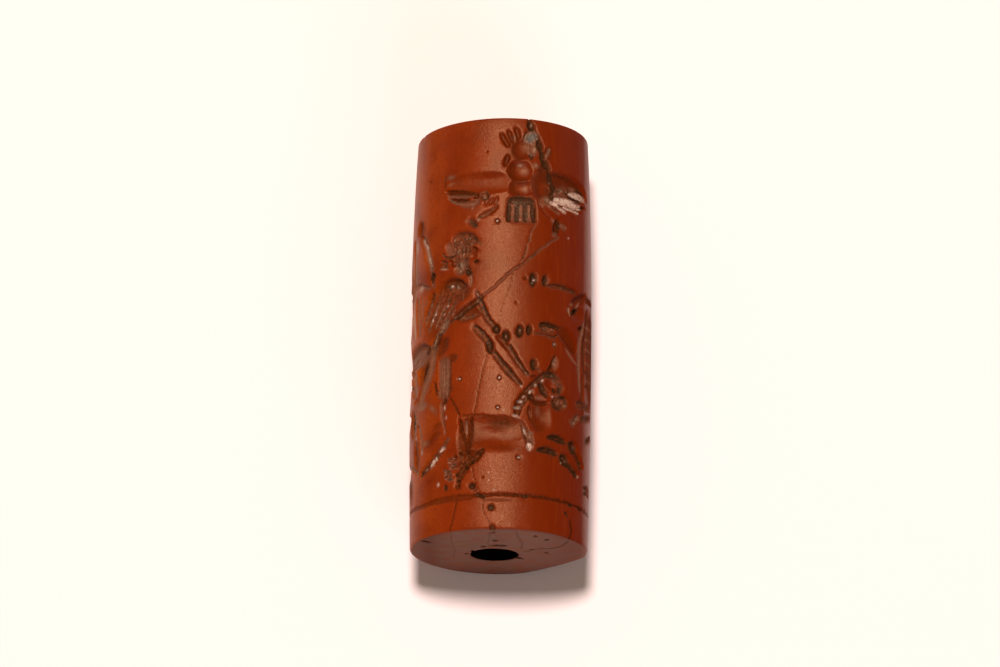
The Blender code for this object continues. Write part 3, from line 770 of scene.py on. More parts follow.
    def rump(self) -> list[Mark]:
        """Return the marks of the scored haunch and the smooth patches below it."""
        return [
            hollow((-8.1, 8.8), 2.4, 1.2, 0.28, 95, VEILED), hollow((-8.2, 9.0), 1.5, 0.5, 0.34, 88, GRIMY),
            *specks([(-7.75, 7.7), (-7.95, 8.4)], 0.5, 0.34, 0, PALE),
            *stains(LILAC_SHEEN, ((-7.9, 7.2), 0.9, 0.4, 100), ((-6.4, 7.0), 1.3, 0.7, 0)),
            *stains(SMEARED, ((-7.6, 8.9), 1.0, 0.5, 80), ((-6.85, 7.7), 0.6, 0.3, 100)),
            groove([(-7.2, 8.6), (-6.95, 7.7), (-6.8, 6.9), (-6.8, 6.2)], 0.5, 0.2, LILAC_SHEEN),
            stain((-6.75, 6.4), 0.45, 0.34, 90, PALE),
            hollow((-7.5, 6.3), 2.8, 0.6, 0.24, 95, SHADED),
            hollow((-9.0, 4.0), 2.6, 1.3, 0.14, 100, SHADED, tool=Tool.PAD),
            groove([(-9.2, 5.9), (-8.3, 5.6), (-7.6, 5.1), (-7.2, 4.9)], 0.36, 0.16, SMEARED),
            *hollows(MUDDY, ((-6.2, 6.9), 1.7, 0.7, 0.08, 4), ((-5.2, 7.3), 1.5, 0.6, 0.08, 18),
                     ((-4.9, 8.0), 1.2, 0.6, 0.06, 20), tool=Tool.PAD),
            stain((-5.5, 9.4), 1.8, 0.7, 140, VEILED),
            # Painted sheen: a pale lilac stroke near the -X edge, in place of the table's reflection.
            groove([(-8.6, 18.2), (-8.4, 16.8), (-8.1, 15.4)], 0.6, 0.12, PAINTED_SHEEN),
            *grooves(VEILED, ([(-7.6, 18.3), (-7.4, 16.8), (-7.2, 15.2)], 0.7, 0.18),
                     ([(-6.95, 18.1), (-6.85, 16.9), (-6.7, 16.2)], 0.4, 0.18), tool=Tool.PAD),
            # Painted sheen: pale lilac patches near the -X edge, in place of the table's reflection.
            *stains(PAINTED_SHEEN, ((-8.6, 17.0), 2.2, 0.9, 92), ((-9.2, 20.9), 3.4, 1.0, 92),
                    ((-8.1, 22.3), 1.4, 0.7, 100), ((-7.1, 18.9), 1.3, 0.8, 10)),
            stain((-8.3, 15.7), 0.9, 0.5, 70, SHADED),
            hollow((-8.2, 19.2), 1.3, 0.8, 0.16, 20, LILAC_SHEEN),
            groove([(-7.6, 19.3), (-6.9, 19.0), (-5.8, 18.6)], 0.4, 0.16, VEILED),
        ]

    def staff(self) -> list[Mark]:
        """Return the marks of the spear-like strokes behind the head and below the belly."""
        shaft = [(-7.0, 22.8), (-6.5, 22.0), (-6.1, 21.0), (-5.7, 19.8)]
        lower = [(-3.9, 6.95), (-4.5, 6.2), (-5.3, 5.5), (-6.1, 5.0), (-6.8, 4.75)]
        return [
            groove(shaft, 0.7, 0.26, LILAC_SHEEN), groove(beside(shaft, 0.2), 0.2, 0.28, VEILED),
            groove([(-6.3, 21.2), (-6.05, 20.5), (-5.75, 19.8)], 0.22, 0.34, SHADED),
            # Painted highlights along the staff.
            groove([(-6.85, 22.5), (-6.35, 21.8), (-6.02, 20.9), (-5.75, 20.2)], 0.34, 0.03, PALE),
            *(stain(place, length, 0.36, 115, BRUISED)
              for place, length in (((-6.33, 21.85), 0.8), ((-6.02, 20.9), 0.7), ((-6.75, 22.45), 0.5))),
            hollow((-7.3, 23.5), 1.4, 0.9, 0.26, 95, SHADED),
            hollow((-5.6, 19.4), 0.7, 0.6, 0.32, 90, GRIMY),
            *grooves(HATCHED, ([(-5.75, 19.1), (-5.4, 18.5)], 0.3, 0.16),
                     ([(-4.9, 5.9), (-4.85, 5.6)], 0.12, 0.3)),
            *stains(HATCHED, ((-5.75, 19.75), 0.5, 0.24, 100), ((-3.95, 6.85), 0.4, 0.26, 30)),
            groove(lower, 0.55, 0.26, WORN),
            *hollows(BRUISED, ((-4.48, 6.2), 0.72, 0.34, 0.3, 35), ((-5.35, 5.35), 0.9, 0.34, 0.3, 42)),
            groove([(-5.05, 5.75), (-5.0, 5.45)], 0.16, 0.3, BRUISED),
            stain((-6.1, 4.95), 0.4, 0.26, 30, BRUISED),
            drilled((-6.65, 4.75), 0.42, 0.28, GRIMY),
        ]


@dataclass(frozen=True)
class ManedBeast(Figure):
    """Rampant beast on the +X side, facing the middle, its feathers in bands."""

    def marks(self) -> list[Mark]:
        """Return all the marks."""
        return self.forelegs() + self.head() + self.flank()

    def forelegs(self) -> list[Mark]:
        """Return the marks of the two raised forelegs with their split hooves."""
        return [
            *grooves(WORN, ([(3.35, 18.3), (4.4, 18.42), (5.5, 18.36), (6.3, 18.3)], 0.36, 0.3),
                     ([(2.4, 14.64), (3.1, 14.6), (3.9, 14.55), (4.6, 14.78)], 0.22, 0.2)),
            *(hollow(centre, height, width, 0.36, 84, GRIMY) for centre, height, width in (
                ((2.28, 18.6), 1.15, 0.62), ((3.2, 18.65), 0.9, 0.5), ((1.32, 14.65), 1.05, 0.62),
                ((2.0, 14.8), 0.9, 0.46))),
            *stains(BRUISED, ((2.38, 18.6), 0.34, 0.28, 0), ((4.08, 14.02), 0.26, 0.26, 0)),
            stain((3.42, 18.6), 0.6, 0.24, 75, HATCHED),
            *stains(FILLED, ((2.2, 18.35), 0.4, 0.3, 80), ((1.35, 14.75), 0.5, 0.26, 84)),
            drilled((1.72, 18.65), 0.28, 0.12, SHADED),
            groove([(4.2, 15.2), (5.1, 14.75), (6.2, 13.7)], 1.2, 0.36, MUDDY, end_width=1.4, tool=Tool.PAD),
            smear([(4.7, 14.9), (5.5, 14.45), (6.2, 13.8)], 0.7, SHADED),
            groove([(2.75, 15.3), (3.6, 15.36), (4.5, 15.25)], 0.4, 0.36, GRIMY),
            hollow((3.45, 15.05), 1.5, 0.6, 0.3, -5, WORN),
            *specks([(3.2, 15.0), (3.55, 14.9), (3.85, 15.05)], 0.3, 0.24, 0, HATCHED),
            # Painted highlight along the lit lower edge of the forearm's hollow.
            groove([(5.2, 13.9), (5.8, 13.35), (6.6, 12.95)], 0.26, 0.05, ROSY),
            drilled((4.1, 14.02), 0.5, 0.12, WORN),
        ]

    def head(self) -> list[Mark]:
        """Return the marks of the horned animal head."""
        return [
            hollow((6.55, 16.75), 2.2, 1.3, 0.22, 25, CLEAN, tool=Tool.PAD),
            groove([(5.65, 17.3), (6.4, 17.75), (7.6, 18.4)], 0.9, 0.34, MUDDY),
            *grooves(CHALKY, ([(6.25, 17.05), (6.4, 17.4), (6.7, 17.65)], 0.3, 0.1),
                     ([(5.45, 17.1), (5.42, 16.8), (5.6, 16.45)], 0.24, 0.1)),
            groove([(5.6, 16.62), (5.95, 16.85), (6.5, 17.12)], 0.46, 0.46, GRIMY),
            groove([(6.45, 15.65), (6.85, 15.82), (7.25, 16.0)], 0.34, 0.22, DARKENED),
            stain((5.75, 17.35), 0.6, 0.34, 30, SMEARED), stain((6.9, 17.95), 1.0, 0.4, 30, GRIMY),
        ]

    def flank(self) -> list[Mark]:
        """Return the marks of the neck, the banded feathers and the long body."""
        return [
            hollow((9.1, 14.0), 9.6, 3.4, 0.12, 90, DULL, tool=Tool.PAD),
            groove([(7.5, 16.4), (7.1, 15.5), (6.75, 14.5), (6.75, 12.8), (6.9, 11.0)], 0.5, 0.1, LILAC_SHEEN),
            groove([(8.0, 17.6), (7.85, 16.2), (7.5, 14.9), (7.4, 14.0), (7.55, 12.6)], 0.75, 0.2,
                   replace(DULLER, dirt_and_shade=0.62)),
            *(groove([(7.7, height), (8.6, height + 0.1), (9.8, height + 0.25)], width, 0.1, DULLER)
              for height, width in (
                (18.2, 0.7), (16.65, 0.62), (15.65, 0.5), (14.9, 0.4), (14.15, 0.4), (12.75, 0.66),
                (11.75, 0.4))),
            # Painted reflection: dull lilac lines between the feather bands, with the stone's own shine
            # taken off.
            *(groove([(7.7, height), (8.6, height + 0.1), (9.8, height + 0.25)], 0.4, 0.04,
                     replace(LILAC_SHEEN, dull=1.0)) for height in (16.15, 15.27, 14.52, 13.5, 12.2)),
            groove([(7.3, 12.6), (7.3, 11.0), (7.35, 9.4)], 0.34, 0.14, DULLER),
            groove([(5.95, 8.4), (6.4, 8.9), (6.9, 9.25)], 0.62, 0.2, ASHEN),
            *(groove([near, far], 0.6, 0.26, WORN) for near, far in (
                ((6.3, 10.1), (8.9, 10.2)), ((6.9, 9.0), (9.2, 9.7)), ((7.7, 7.5), (9.5, 8.3)))),
            *(groove([(7.6, height - 0.05), (8.4, height + 0.15), (9.3, height + 0.1)], 0.34, 0.2, WORN)
              for height in (3.75, 4.15)),
        ]


@dataclass(frozen=True)
class WalkingAnimal(Figure):
    """Horned animal walking towards +X below the others, its neck and mane upright."""

    def marks(self) -> list[Mark]:
        """Return all the marks."""
        return (self.trunk() + self.neck() + self.mane() + self.head() + self.muzzle() + self.forelegs()
                + self.hind_legs())

    def trunk(self) -> list[Mark]:
        """Return the marks of the smooth belly and the creased haunch."""
        return [
            hollow((-0.5, 6.95), 5.0, 3.1, 0.6, -4, squareness=2.6, tool=Tool.PAD),
            hollow((-0.35, 7.25), 4.2, 2.1, 0.46, -4, squareness=3.0),
            # Painted shade across the top wall of the belly's hollow.
            stain((0.15, 7.75), 2.9, 1.25, -4, DARKENED),
            # The first of these stains paints shade and takes off the gloss where the belly turns away
            # towards -X.
            *stains(MUDDY, ((-1.5, 7.1), 2.7, 1.5, 90), ((0.2, 5.95), 3.6, 0.6, -2)),
            groove([(-2.9, 8.5), (-1.2, 8.32), (0.4, 8.2), (1.4, 8.05)], 0.24, 0.14, SHADED),
            # Painted highlight on the belly.
            stain((0.4, 6.8), 2.2, 0.8, 0, PAINTED_LIGHT),
            hollow((-2.45, 6.9), 3.3, 1.5, 0.46, 84, SHADED, tool=Tool.PAD),
            *grooves(DARKENED, ([(-2.95, 8.3), (-2.75, 7.2), (-2.5, 6.4), (-2.4, 5.6)], 0.3, 0.5),
                     ([(-2.05, 8.3), (-2.1, 7.0), (-2.3, 5.5)], 0.26, 0.5)),
            groove([(-2.45, 8.1), (-2.42, 7.0)], 0.24, 0.4, ROSY),
            groove([(1.45, 8.0), (1.75, 7.3), (2.1, 6.3), (2.15, 5.8)], 0.46, 0.32, WORN),
            stain((1.76, 7.25), 0.85, 0.3, 112, BRUISED),
            hollow((2.16, 6.15), 0.72, 0.5, 0.32, 95, BRUISED),
            *comb(7, ((1.95, 7.3), (2.4, 7.2)), ((2.2, 6.45), (2.6, 6.4)), 0.09, 0.06, HATCHED),
            hollow((2.15, 6.9), 0.9, 0.5, 0.1, 100, ASHEN),
        ]

    def neck(self) -> list[Mark]:
        """Return the marks of the neck and its collar."""
        return [
            hollow((2.9, 8.3), 2.7, 2.0, 0.46, 95, squareness=2.4, tool=Tool.PAD),
            hollow((2.8, 8.3), 2.2, 1.4, 0.36, 95, MUDDY),
            groove([(2.15, 9.2), (2.15, 8.6), (2.3, 8.0)], 0.5, 0.4, SHADED, tool=Tool.PAD),
            # Painted highlight down the neck and painted light on its right wall.
            *stains(PAINTED_LIGHT, ((2.75, 8.8), 1.3, 0.55, 92), ((3.75, 8.6), 2.0, 0.35, 92)),
            hollow((3.0, 9.95), 0.9, 0.9, 0.18, 60, CLEAN),
            # Painted highlight on the throat.
            stain((2.9, 9.85), 1.2, 0.5, 0, ROSY),
            groove([(1.95, 9.72), (2.5, 9.48), (3.0, 9.42), (3.55, 9.52)], 0.42, 0.42, DARKENED),
        ]

    def mane(self) -> list[Mark]:
        """Return the marks of the bars of hair and of the dark line that carries on as a horn."""
        line = [(1.7, 10.1), (2.2, 10.6), (2.75, 11.15), (3.25, 11.6), (3.6, 11.85)]
        return [
            groove([(1.15, 8.3), (1.35, 9.2), (1.75, 9.85), (2.3, 10.3)], 0.75, 0.22, DARKENED),
            *(hollow(place, length, width, 0.12, lean, PALE, deepens=True)
              for place, length, width, lean in (
                ((1.1, 8.36), 0.62, 0.24, -15), ((1.2, 8.93), 0.56, 0.26, 0),
                ((1.42, 9.42), 0.5, 0.28, 10), ((1.66, 9.8), 0.34, 0.2, 30),
                ((2.15, 10.2), 0.4, 0.26, 55))),
            stain((1.58, 9.2), 0.4, 0.24, 70, SMEARED), stain((1.85, 9.6), 0.5, 0.2, 70, SMEARED),
            hollow((2.2, 9.85), 0.7, 0.4, 0.32, -25, GRIMY),
            groove(line, 0.5, 0.22, DARKENED), groove(line, 0.26, 0.28, WORN),
            groove([(3.45, 11.75), (3.75, 12.2), (4.0, 12.75), (4.18, 13.2)], 0.32, 0.22, DARKENED),
        ]

    def head(self) -> list[Mark]:
        """Return the marks of the ear, the horn and the cheek."""
        return [
            *hollows(GRIMY, ((2.37, 12.25), 1.0, 0.55, 0.32, 95), ((4.5, 10.65), 0.6, 0.4, 0.4, 80),
                     ((4.05, 10.55), 0.5, 0.3, 0.3, -60)),
            *grooves(WORN, ([(2.68, 12.1), (2.85, 11.7)], 0.2, 0.2),
                     ([(3.2, 11.5), (3.9, 11.6), (4.4, 11.3), (4.65, 10.8), (4.5, 10.3)], 0.62, 0.38)),
            groove([(2.2, 11.4), (2.8, 11.42)], 0.2, 0.16, SHADED),
            hollow((4.2, 12.6), 1.1, 0.6, 0.14, 75, CHALKY),
            *stains(FILLED, ((4.18, 12.75), 0.6, 0.4, 70), ((4.4, 11.1), 0.6, 0.34, -60)),
            *grooves(GRIMY, ([(3.3, 11.55), (3.8, 11.7), (4.3, 11.6)], 0.5, 0.44),
                     ([(2.9, 11.0), (3.1, 10.5), (3.55, 9.95)], 0.6, 0.4)),
            stain((4.05, 11.25), 0.55, 0.3, -40, HATCHED),
            hollow((3.7, 10.9), 1.0, 0.75, 0.26, -50, CLEAN),
            *specks([(3.05, 10.6), (3.3, 10.3)], 0.26, 0.2, 0, FILLED),
            *stains(BRUISED, ((3.08, 11.15), 0.44, 0.3, 60), ((2.57, 10.75), 0.4, 0.26, 60)),
        ]

    def muzzle(self) -> list[Mark]:
        """Return the marks of the curled muzzle."""
        return [
            hollow((4.65, 9.75), 1.7, 1.15, 0.28, 10, WORN),
            *grooves(GRIMY, ([(3.95, 9.8), (4.1, 9.4), (4.6, 9.22)], 0.4, 0.42),
                     ([(4.6, 10.15), (4.95, 10.15), (5.2, 9.95)], 0.3, 0.36)),
            stain((4.35, 9.65), 0.6, 0.5, 0, ASHEN), stain((4.3, 10.15), 0.55, 0.36, 0, CHALKY),
            stain((3.97, 10.1), 0.28, 0.24, 0, BRUISED), stain((5.1, 9.6), 0.8, 0.5, 20, FILLED),
        ]

    def forelegs(self) -> list[Mark]:
        """Return the marks of the two forelegs, each a leaf, a joint and a hoof."""
        cuts: list[Mark] = []
        for thigh, joint, hoof, finish in (
                ((4.45, 7.0), (6.0, 6.68), (7.0, 5.65), DARKENED),
                ((3.65, 5.98), (5.15, 5.55), (6.35, 4.85), GRIMY)):
            leaf = [step(thigh, -0.95, 0.0), step(thigh, -0.1, 0.06), step(thigh, 0.85, -0.12)]
            shin = [joint, step(between(joint, hoof, 0.5), 0.05, -0.02), hoof]
            cuts += [
                groove(leaf, 0.56, 0.36, GRIMY, fullness=0.9),
                groove([step(thigh, -0.5, 0.02), step(thigh, 0.5, 0.0)], 0.3, 0.4, GRIMY),
                groove(shin, 0.56, 0.32, finish),
                hollow(joint, 1.2, 0.92, 0.38, -35, GRIMY),
                stain(step(joint, 0.1, 0.0), 0.34, 0.26, 0, HATCHED),
                stain(step(joint, -0.2, 0.15), 0.3, 0.2, 0, FILLED),
                hollow(hoof, 0.75, 0.6, 0.32, -30, GRIMY),
            ]
        return cuts + [
            stain((6.75, 4.72), 0.4, 0.2, 10, BRUISED), stain((4.85, 5.35), 0.3, 0.2, 60, FILLED),
        ]

    def hind_legs(self) -> list[Mark]:
        """Return the marks of the lumpy hind legs and the scored ground beside them."""
        return [
            hollow((-2.4, 5.25), 2.8, 1.3, 0.26, 15, SHADED, tool=Tool.PAD),
            groove([(-1.15, 5.95), (-1.6, 5.4), (-2.3, 4.9), (-2.9, 4.1), (-3.15, 3.1)], 0.6, 0.28,
                   DARKENED),
            groove([(-2.2, 4.7), (-2.6, 4.2), (-3.1, 3.5)], 0.4, 0.3, SHADED),
            *(drilled((u, v), diameter, 0.3, SHADED, tool=Tool.PAD) for u, v, diameter in (
                (-1.3, 5.75, 0.55), (-1.75, 5.15, 0.65), (-2.5, 4.65, 0.65), (-2.95, 4.0, 0.6),
                (-3.1, 3.2, 0.5), (-2.7, 5.45, 0.65), (-3.35, 5.4, 0.5), (-2.2, 5.5, 0.55))),
            *dabs([(-2.3, 5.45), (-1.95, 4.95), (-2.9, 5.6), (-3.15, 4.1), (-2.4, 4.6), (-2.7, 5.0),
                   (-3.0, 3.6), (-1.5, 5.5)], 0.42, 0.34, PITTED, tool=Tool.PAD),
            *comb(4, ((-3.35, 5.35), (-4.0, 5.4)), ((-3.2, 4.7), (-3.85, 4.6)), 0.16, 0.14, HATCHED),
            *comb(5, ((-3.7, 4.45), (-4.4, 4.6)), ((-3.55, 3.85), (-4.2, 3.9)), 0.16, 0.14, HATCHED),
            groove([(-4.25, 3.5), (-4.05, 3.05)], 0.34, 0.2, GRIMY),
            stain((-4.9, 3.65), 0.45, 0.34, 90, BRUISED),
        ]


@dataclass(frozen=True)
class GroundLine(Figure):
    """Line cut all round below the figures, a little wavy and deeper in places."""

    height: float = 2.5
    reach: float = 21.0

    def marks(self) -> list[Mark]:
        """Return all the marks."""
        places = np.linspace(-self.reach, self.reach, 43)
        wave = 0.04 * np.sin(places * math.tau / 5.25) + 0.02 * np.sin(places * math.tau / 3.0)
        line = [(float(u), float(self.height + rise)) for u, rise in zip(places, wave)]
        return [
            groove(line, 0.2, 0.1, SHADED, fullness=0.0),
            groove([(-2.9, 2.52), (0.0, 2.5), (3.0, 2.52), (8.8, 2.5)], 0.17, 0.14, DARKENED),
            *grooves(SHADED, ([(-9.0, 2.42), (-5.0, 2.36), (-2.9, 2.34), (-1.7, 2.42)], 0.36, 0.08),
                     ([(-1.2, 2.16), (-0.2, 2.1), (1.0, 2.2)], 0.2, 0.05)),
            groove([(-1.75, 2.62), (-1.4, 2.42), (-1.0, 2.36)], 0.3, 0.18, GRIMY),
            *(hollow(place, 0.7, 0.26, 0.18, 0, GRIMY)
              for place in ((1.85, 2.44), (5.9, 2.45), (7.2, 2.42))),
        ]


@dataclass(frozen=True)
class Wear(Figure):
    """Cracks, pits, dots, the fissure, and the hollows worn into the -X edge."""

    def marks(self) -> list[Mark]:
        """Return all the marks."""
        return self.worn_edge() + self.fissure() + self.cracks() + self.dots()

    def worn_edge(self) -> list[Mark]:
        """Return the shallow dips along the -X edge."""
        return [hollow((-10.35, along), length, 3.5, depth) for along, length, depth in (
            (17.3, 4.4, 0.4), (12.9, 5.8, 0.26), (9.4, 1.3, 0.34), (5.6, 1.7, 0.26))]

    def fissure(self) -> list[Mark]:
        """Return the marks of the split by the bust, packed with hard residue."""
        path = [(2.0, 31.0), (2.2, 30.3), (2.6, 29.6), (2.85, 28.9), (3.1, 28.2), (3.45, 27.4), (3.65, 26.5),
                (3.95, 25.8), (3.8, 24.9)]
        return [
            hollow((2.15, 29.5), 1.4, 1.0, 0.14, 30, CRUSTED, tool=Tool.PAD),
            *stains(SMEARED, ((2.35, 28.6), 1.4, 0.8, 80), ((2.5, 27.35), 0.8, 0.6, 0),
                    ((3.65, 26.2), 0.4, 0.34, 0)),
            *hollows(SHADED, ((3.45, 28.3), 1.7, 0.8, 0.12, 62), ((3.1, 27.0), 1.4, 0.9, 0.14, 110),
                     tool=Tool.PAD),
            groove([(3.35, 28.1), (3.55, 28.5), (3.72, 28.9)], 0.3, 0.06, CHALKY),
            crack(path, 0.42, 0.26, finish=DARKENED, wander=0.12),
            *(hollow(centre, length, width, 0.34, 100, GRIMY) for centre, length, width in (
                ((2.12, 30.35), 0.95, 0.7), ((2.8, 28.92), 0.95, 0.62), ((3.02, 28.05), 0.9, 0.5),
                ((3.25, 27.5), 0.8, 0.6), ((3.62, 26.55), 1.0, 0.5), ((3.95, 25.85), 0.8, 0.6),
                ((3.8, 25.2), 0.8, 0.45), ((2.15, 28.05), 0.5, 0.36), ((2.6, 29.5), 0.8, 0.3))),
            *stains(FILLED, ((2.2, 30.45), 0.6, 0.4, 90), ((3.4, 28.2), 0.5, 0.3, 70)),
        ]

    def cracks(self) -> list[Mark]:
        """Return the long thin cracks."""
        deep = [(-1.3, 17.35), (-1.9, 16.85), (-2.5, 16.5), (-3.1, 16.05), (-3.6, 15.85)]
        return [
            groove(deep, 0.62, 0.32, DARKENED), groove(beside(deep, 0.12), 0.2, 0.34, GRIMY),
            *specks([(-1.75, 16.95), (-2.35, 16.5), (-3.0, 16.05), (-3.45, 15.9), (-2.8, 15.85)], 0.45, 0.24,
                    35, SMEARED),
            crack([(4.5, 22.2), (3.0, 21.1), (1.8, 20.0), (0.5, 19.0), (-0.5, 18.0), (-1.5, 17.25)], 0.26,
                  0.1, finish=THREADED),
            crack([(2.6, 20.75), (1.8, 20.0), (1.15, 19.55)], 0.16, 0.12, finish=WORN),
            crack([(-3.5, 15.9), (-4.4, 15.2), (-5.1, 14.3)], 0.26, 0.25, finish=WORN),
            crack([(2.5, 23.0), (2.15, 22.2), (1.7, 20.6), (1.35, 19.9)], 0.15, 0.06, finish=WORN),
            crack([(1.35, 19.9), (0.9, 19.2), (0.7, 18.2), (0.25, 17.0), (-0.2, 15.3)], 0.09, 0.03,
                  finish=SHADED),
            crack([(-0.95, 13.0), (-1.2, 12.0), (-1.5, 10.8), (-1.9, 8.4), (-2.0, 7.0), (-2.35, 6.0),
                   (-2.1, 5.0), (-1.9, 4.0), (-1.7, 3.3), (-1.3, 2.3), (-1.2, 1.5), (-0.9, 0.8),
                   (-0.55, 0.0)]),
            crack([(-3.8, 10.0), (-3.4, 9.3), (-2.95, 8.5)], 0.16, 0.05),
            crack([(-3.05, 2.75), (-3.4, 1.5), (-3.8, 0.0)], 0.2, 0.04),
            crack([(6.0, 1.45), (6.05, 0.9), (6.2, 0.6), (6.0, 0.0)], 0.22, 0.05),
        ]

    def dots(self) -> list[Mark]:
        """Return the drilled dots, natural pits and bright flecks."""
        cuts: list[Mark] = []
        for centre, diameter in (
                ((-0.1, 11.15), 0.34), ((-0.2, 8.95), 0.34), ((-3.05, 11.25), 0.36), ((1.35, 5.3), 0.42),
                ((-0.35, 23.0), 0.4)):
            cuts += ringed(centre, diameter, 0.12)
        return cuts + [
            *hollows(GRIMY, ((-2.02, 3.18), 0.6, 0.5, 0.26, 0), ((5.5, 1.7), 0.55, 0.28, 0.16, 150)),
            drilled((-1.8, 2.9), 0.3, 0.12, WORN), drilled((-0.6, 1.55), 0.55, 0.16, GRIMY),
            stain((-0.6, 1.5), 0.3, 0.3, 0, FILLED),
            drilled((-0.5, 0.05), 0.5, 0.18, GRIMY),
            *dabs([(-1.25, 3.8), (1.05, 16.85), (-1.2, 28.35), (5.9, 24.0), (-6.2, 26.9)], 0.2, 0.08,
                  SHADED),
            *dabs([(-0.8, 4.15), (-0.8, 3.55), (-0.4, 2.85), (0.2, 8.75)], 0.16, 0.03, GLINT),
        ]


@dataclass(frozen=True)
class FarSide(Figure):
    """Hindquarters and raised wing of the two rampant beasts, on the side away from the front."""

    def marks(self) -> list[Mark]:
        """Return all the marks."""
        return self.hindquarters(-1) + self.hindquarters(1) + self.raised_wing(-1)

    def hindquarters(self, side: int) -> list[Mark]:
        """Return flank, haunch, hind legs and tail of the beast on one side."""
        flank = (side * 10.4, 12.0) if side < 0 else (12.3, 12.0)
        haunch = (side * 11.6, 8.4)
        tail = [step(haunch, side, 0.6), step(haunch, side * 3.0, 2.2), step(haunch, side * 3.2, 5.4),
                step(haunch, side * 2.2, 6.4)]
        cuts: list[Mark] = [hollow(flank, 5.4, 2.2, 0.42, 90 + side * 12), hollow(haunch, 2.6, 2.3, 0.46)]
        for stride in (-0.9, 0.9):
            hock = step(haunch, side * (0.8 + stride), -3.0)
            foot = step(hock, -side * 0.5, -1.5)
            cuts += [groove([haunch, hock, foot, step(hock, -side * 1.5, -2.1)], 0.8, 0.3, end_width=0.4),
                     drilled(hock, 0.7, 0.34), drilled(foot, 0.55, 0.32)]
        return cuts + [groove(tail, 0.45, 0.28), drilled(tail[-1], 0.9, 0.32)]

    def raised_wing(self, side: int) -> list[Mark]:
        """Return the long feathers fanned from the shoulder of one beast."""
        shoulder = (side * 8.0, 16.4)
        cuts: list[Mark] = []
        for feather in range(6):
            lean = 90 - side * (4 + 13 * feather)
            tip = ray(shoulder, 6.6 - 0.35 * feather, lean)
            cuts.append(groove([ray(shoulder, 1.8, lean), tip], 0.8, 0.3, LILAC_SHEEN, end_width=0.95,
                               tool=Tool.PAD))
        return cuts


@dataclass(frozen=True)
class FootEnd(Figure):
    """Pits, cracks and smudges on the end face that holds the worn corner."""

    def marks(self) -> list[Mark]:
        """Return all the marks."""
        return [
            groove([(-5.55, 2.85), (-5.25, 2.6), (-4.95, 2.35)], 0.4, 0.18, GRIMY),
            *hollows(GRIMY, ((-0.25, 3.1), 0.5, 0.3, 0.16, 0), ((2.4, 0.75), 0.42, 0.34, 0.14, 0),
                     ((0.0, 1.8), 1.3, 0.5, 0.25, 0), ((1.25, -1.45), 1.4, 0.55, 0.25, -35),
                     ((-1.85, 0.0), 0.8, 0.3, 0.25, 90), ((-1.1, 1.45), 0.5, 0.3, 0.2, 40)),
            *dabs([(3.45, -0.05), (3.4, 3.5), (2.62, 4.5), (-2.3, -0.6)], 0.34, 0.14, GRIMY),
            hollow((-0.45, 5.35), 0.6, 0.6, 0.12, 0, FILLED),
            crack([(-3.35, 5.1), (-3.4, 3.6), (-3.3, 1.8), (-3.15, 0.4), (-3.3, -1.6)], 0.16, 0.03,
                  finish=FAINT),
            crack([(-0.65, 5.3), (-0.75, 3.0), (-0.7, 1.1)], 0.14, 0.03, finish=FAINT),
            crack([(1.25, 5.7), (1.35, 4.6), (1.65, 2.6), (1.55, 1.0)], 0.2, 0.04, finish=FAINT),
            crack([(4.95, 3.4), (4.5, 1.9), (3.7, 1.2), (3.0, 1.05), (2.3, 0.5), (1.8, 0.1)], 0.22, 0.05,
                  finish=FAINT),
            *stains(SMUDGED, ((-2.4, 2.2), 4.2, 2.4, 5), ((-4.0, 0.6), 2.6, 3.0, 90),
                    ((2.6, 0.6), 2.2, 1.8, 20), ((-0.7, 3.6), 1.2, 3.0, 90), ((0.2, -2.6), 1.6, 2.2, 90)),
            stain((-0.5, -4.6), 1.3, 2.4, 90, replace(SMUDGED, dirt_and_shade=0.5)),
        ]


@dataclass(frozen=True)
class SkyEnd(Figure):
    """A few pits and two cracks on the far end face."""

    def marks(self) -> list[Mark]:
        """Return all the marks."""
        return [
            *dabs([(-3.2, 2.4), (2.9, -3.1), (0.8, 3.9), (-1.6, -3.8)], 0.34, 0.14, GRIMY),
            crack([(2.0, 5.5), (2.3, 4.2), (1.7, 2.6), (1.8, 1.6)], 0.16, 0.1),
            crack([(-5.4, -0.6), (-4.1, -0.3), (-2.9, -0.9), (-1.8, -0.4)], 0.12, 0.08),
            stain((-2.6, -1.2), 2.4, 1.8, 30, Finish(residue_and_highlight=0.3, rough=0.3)),
        ]


# ------------------------ the stone

# Where the mesh is halved round a mark at the first and the second level, and which marks
# count as broad, narrow or shallow, in millimetres.
FIRST_MARGIN = 0.24
SECOND_MARGIN = 0.06
SECOND_RIM = 0.16
BROAD = 1.2
NARROW = 0.4
SHALLOW = 0.05


@dataclass(frozen=True)
class Panel:
    """One surface of the stone with the marks that it takes."""

    surface: str
    figures: tuple[Figure, ...]
    finest: int = 3

    @cached_property
    def marks(self) -> list[Mark]:
        """Return the marks of all the panel's figures, in order."""
        return [mark for figure in self.figures for mark in figure.marks()]


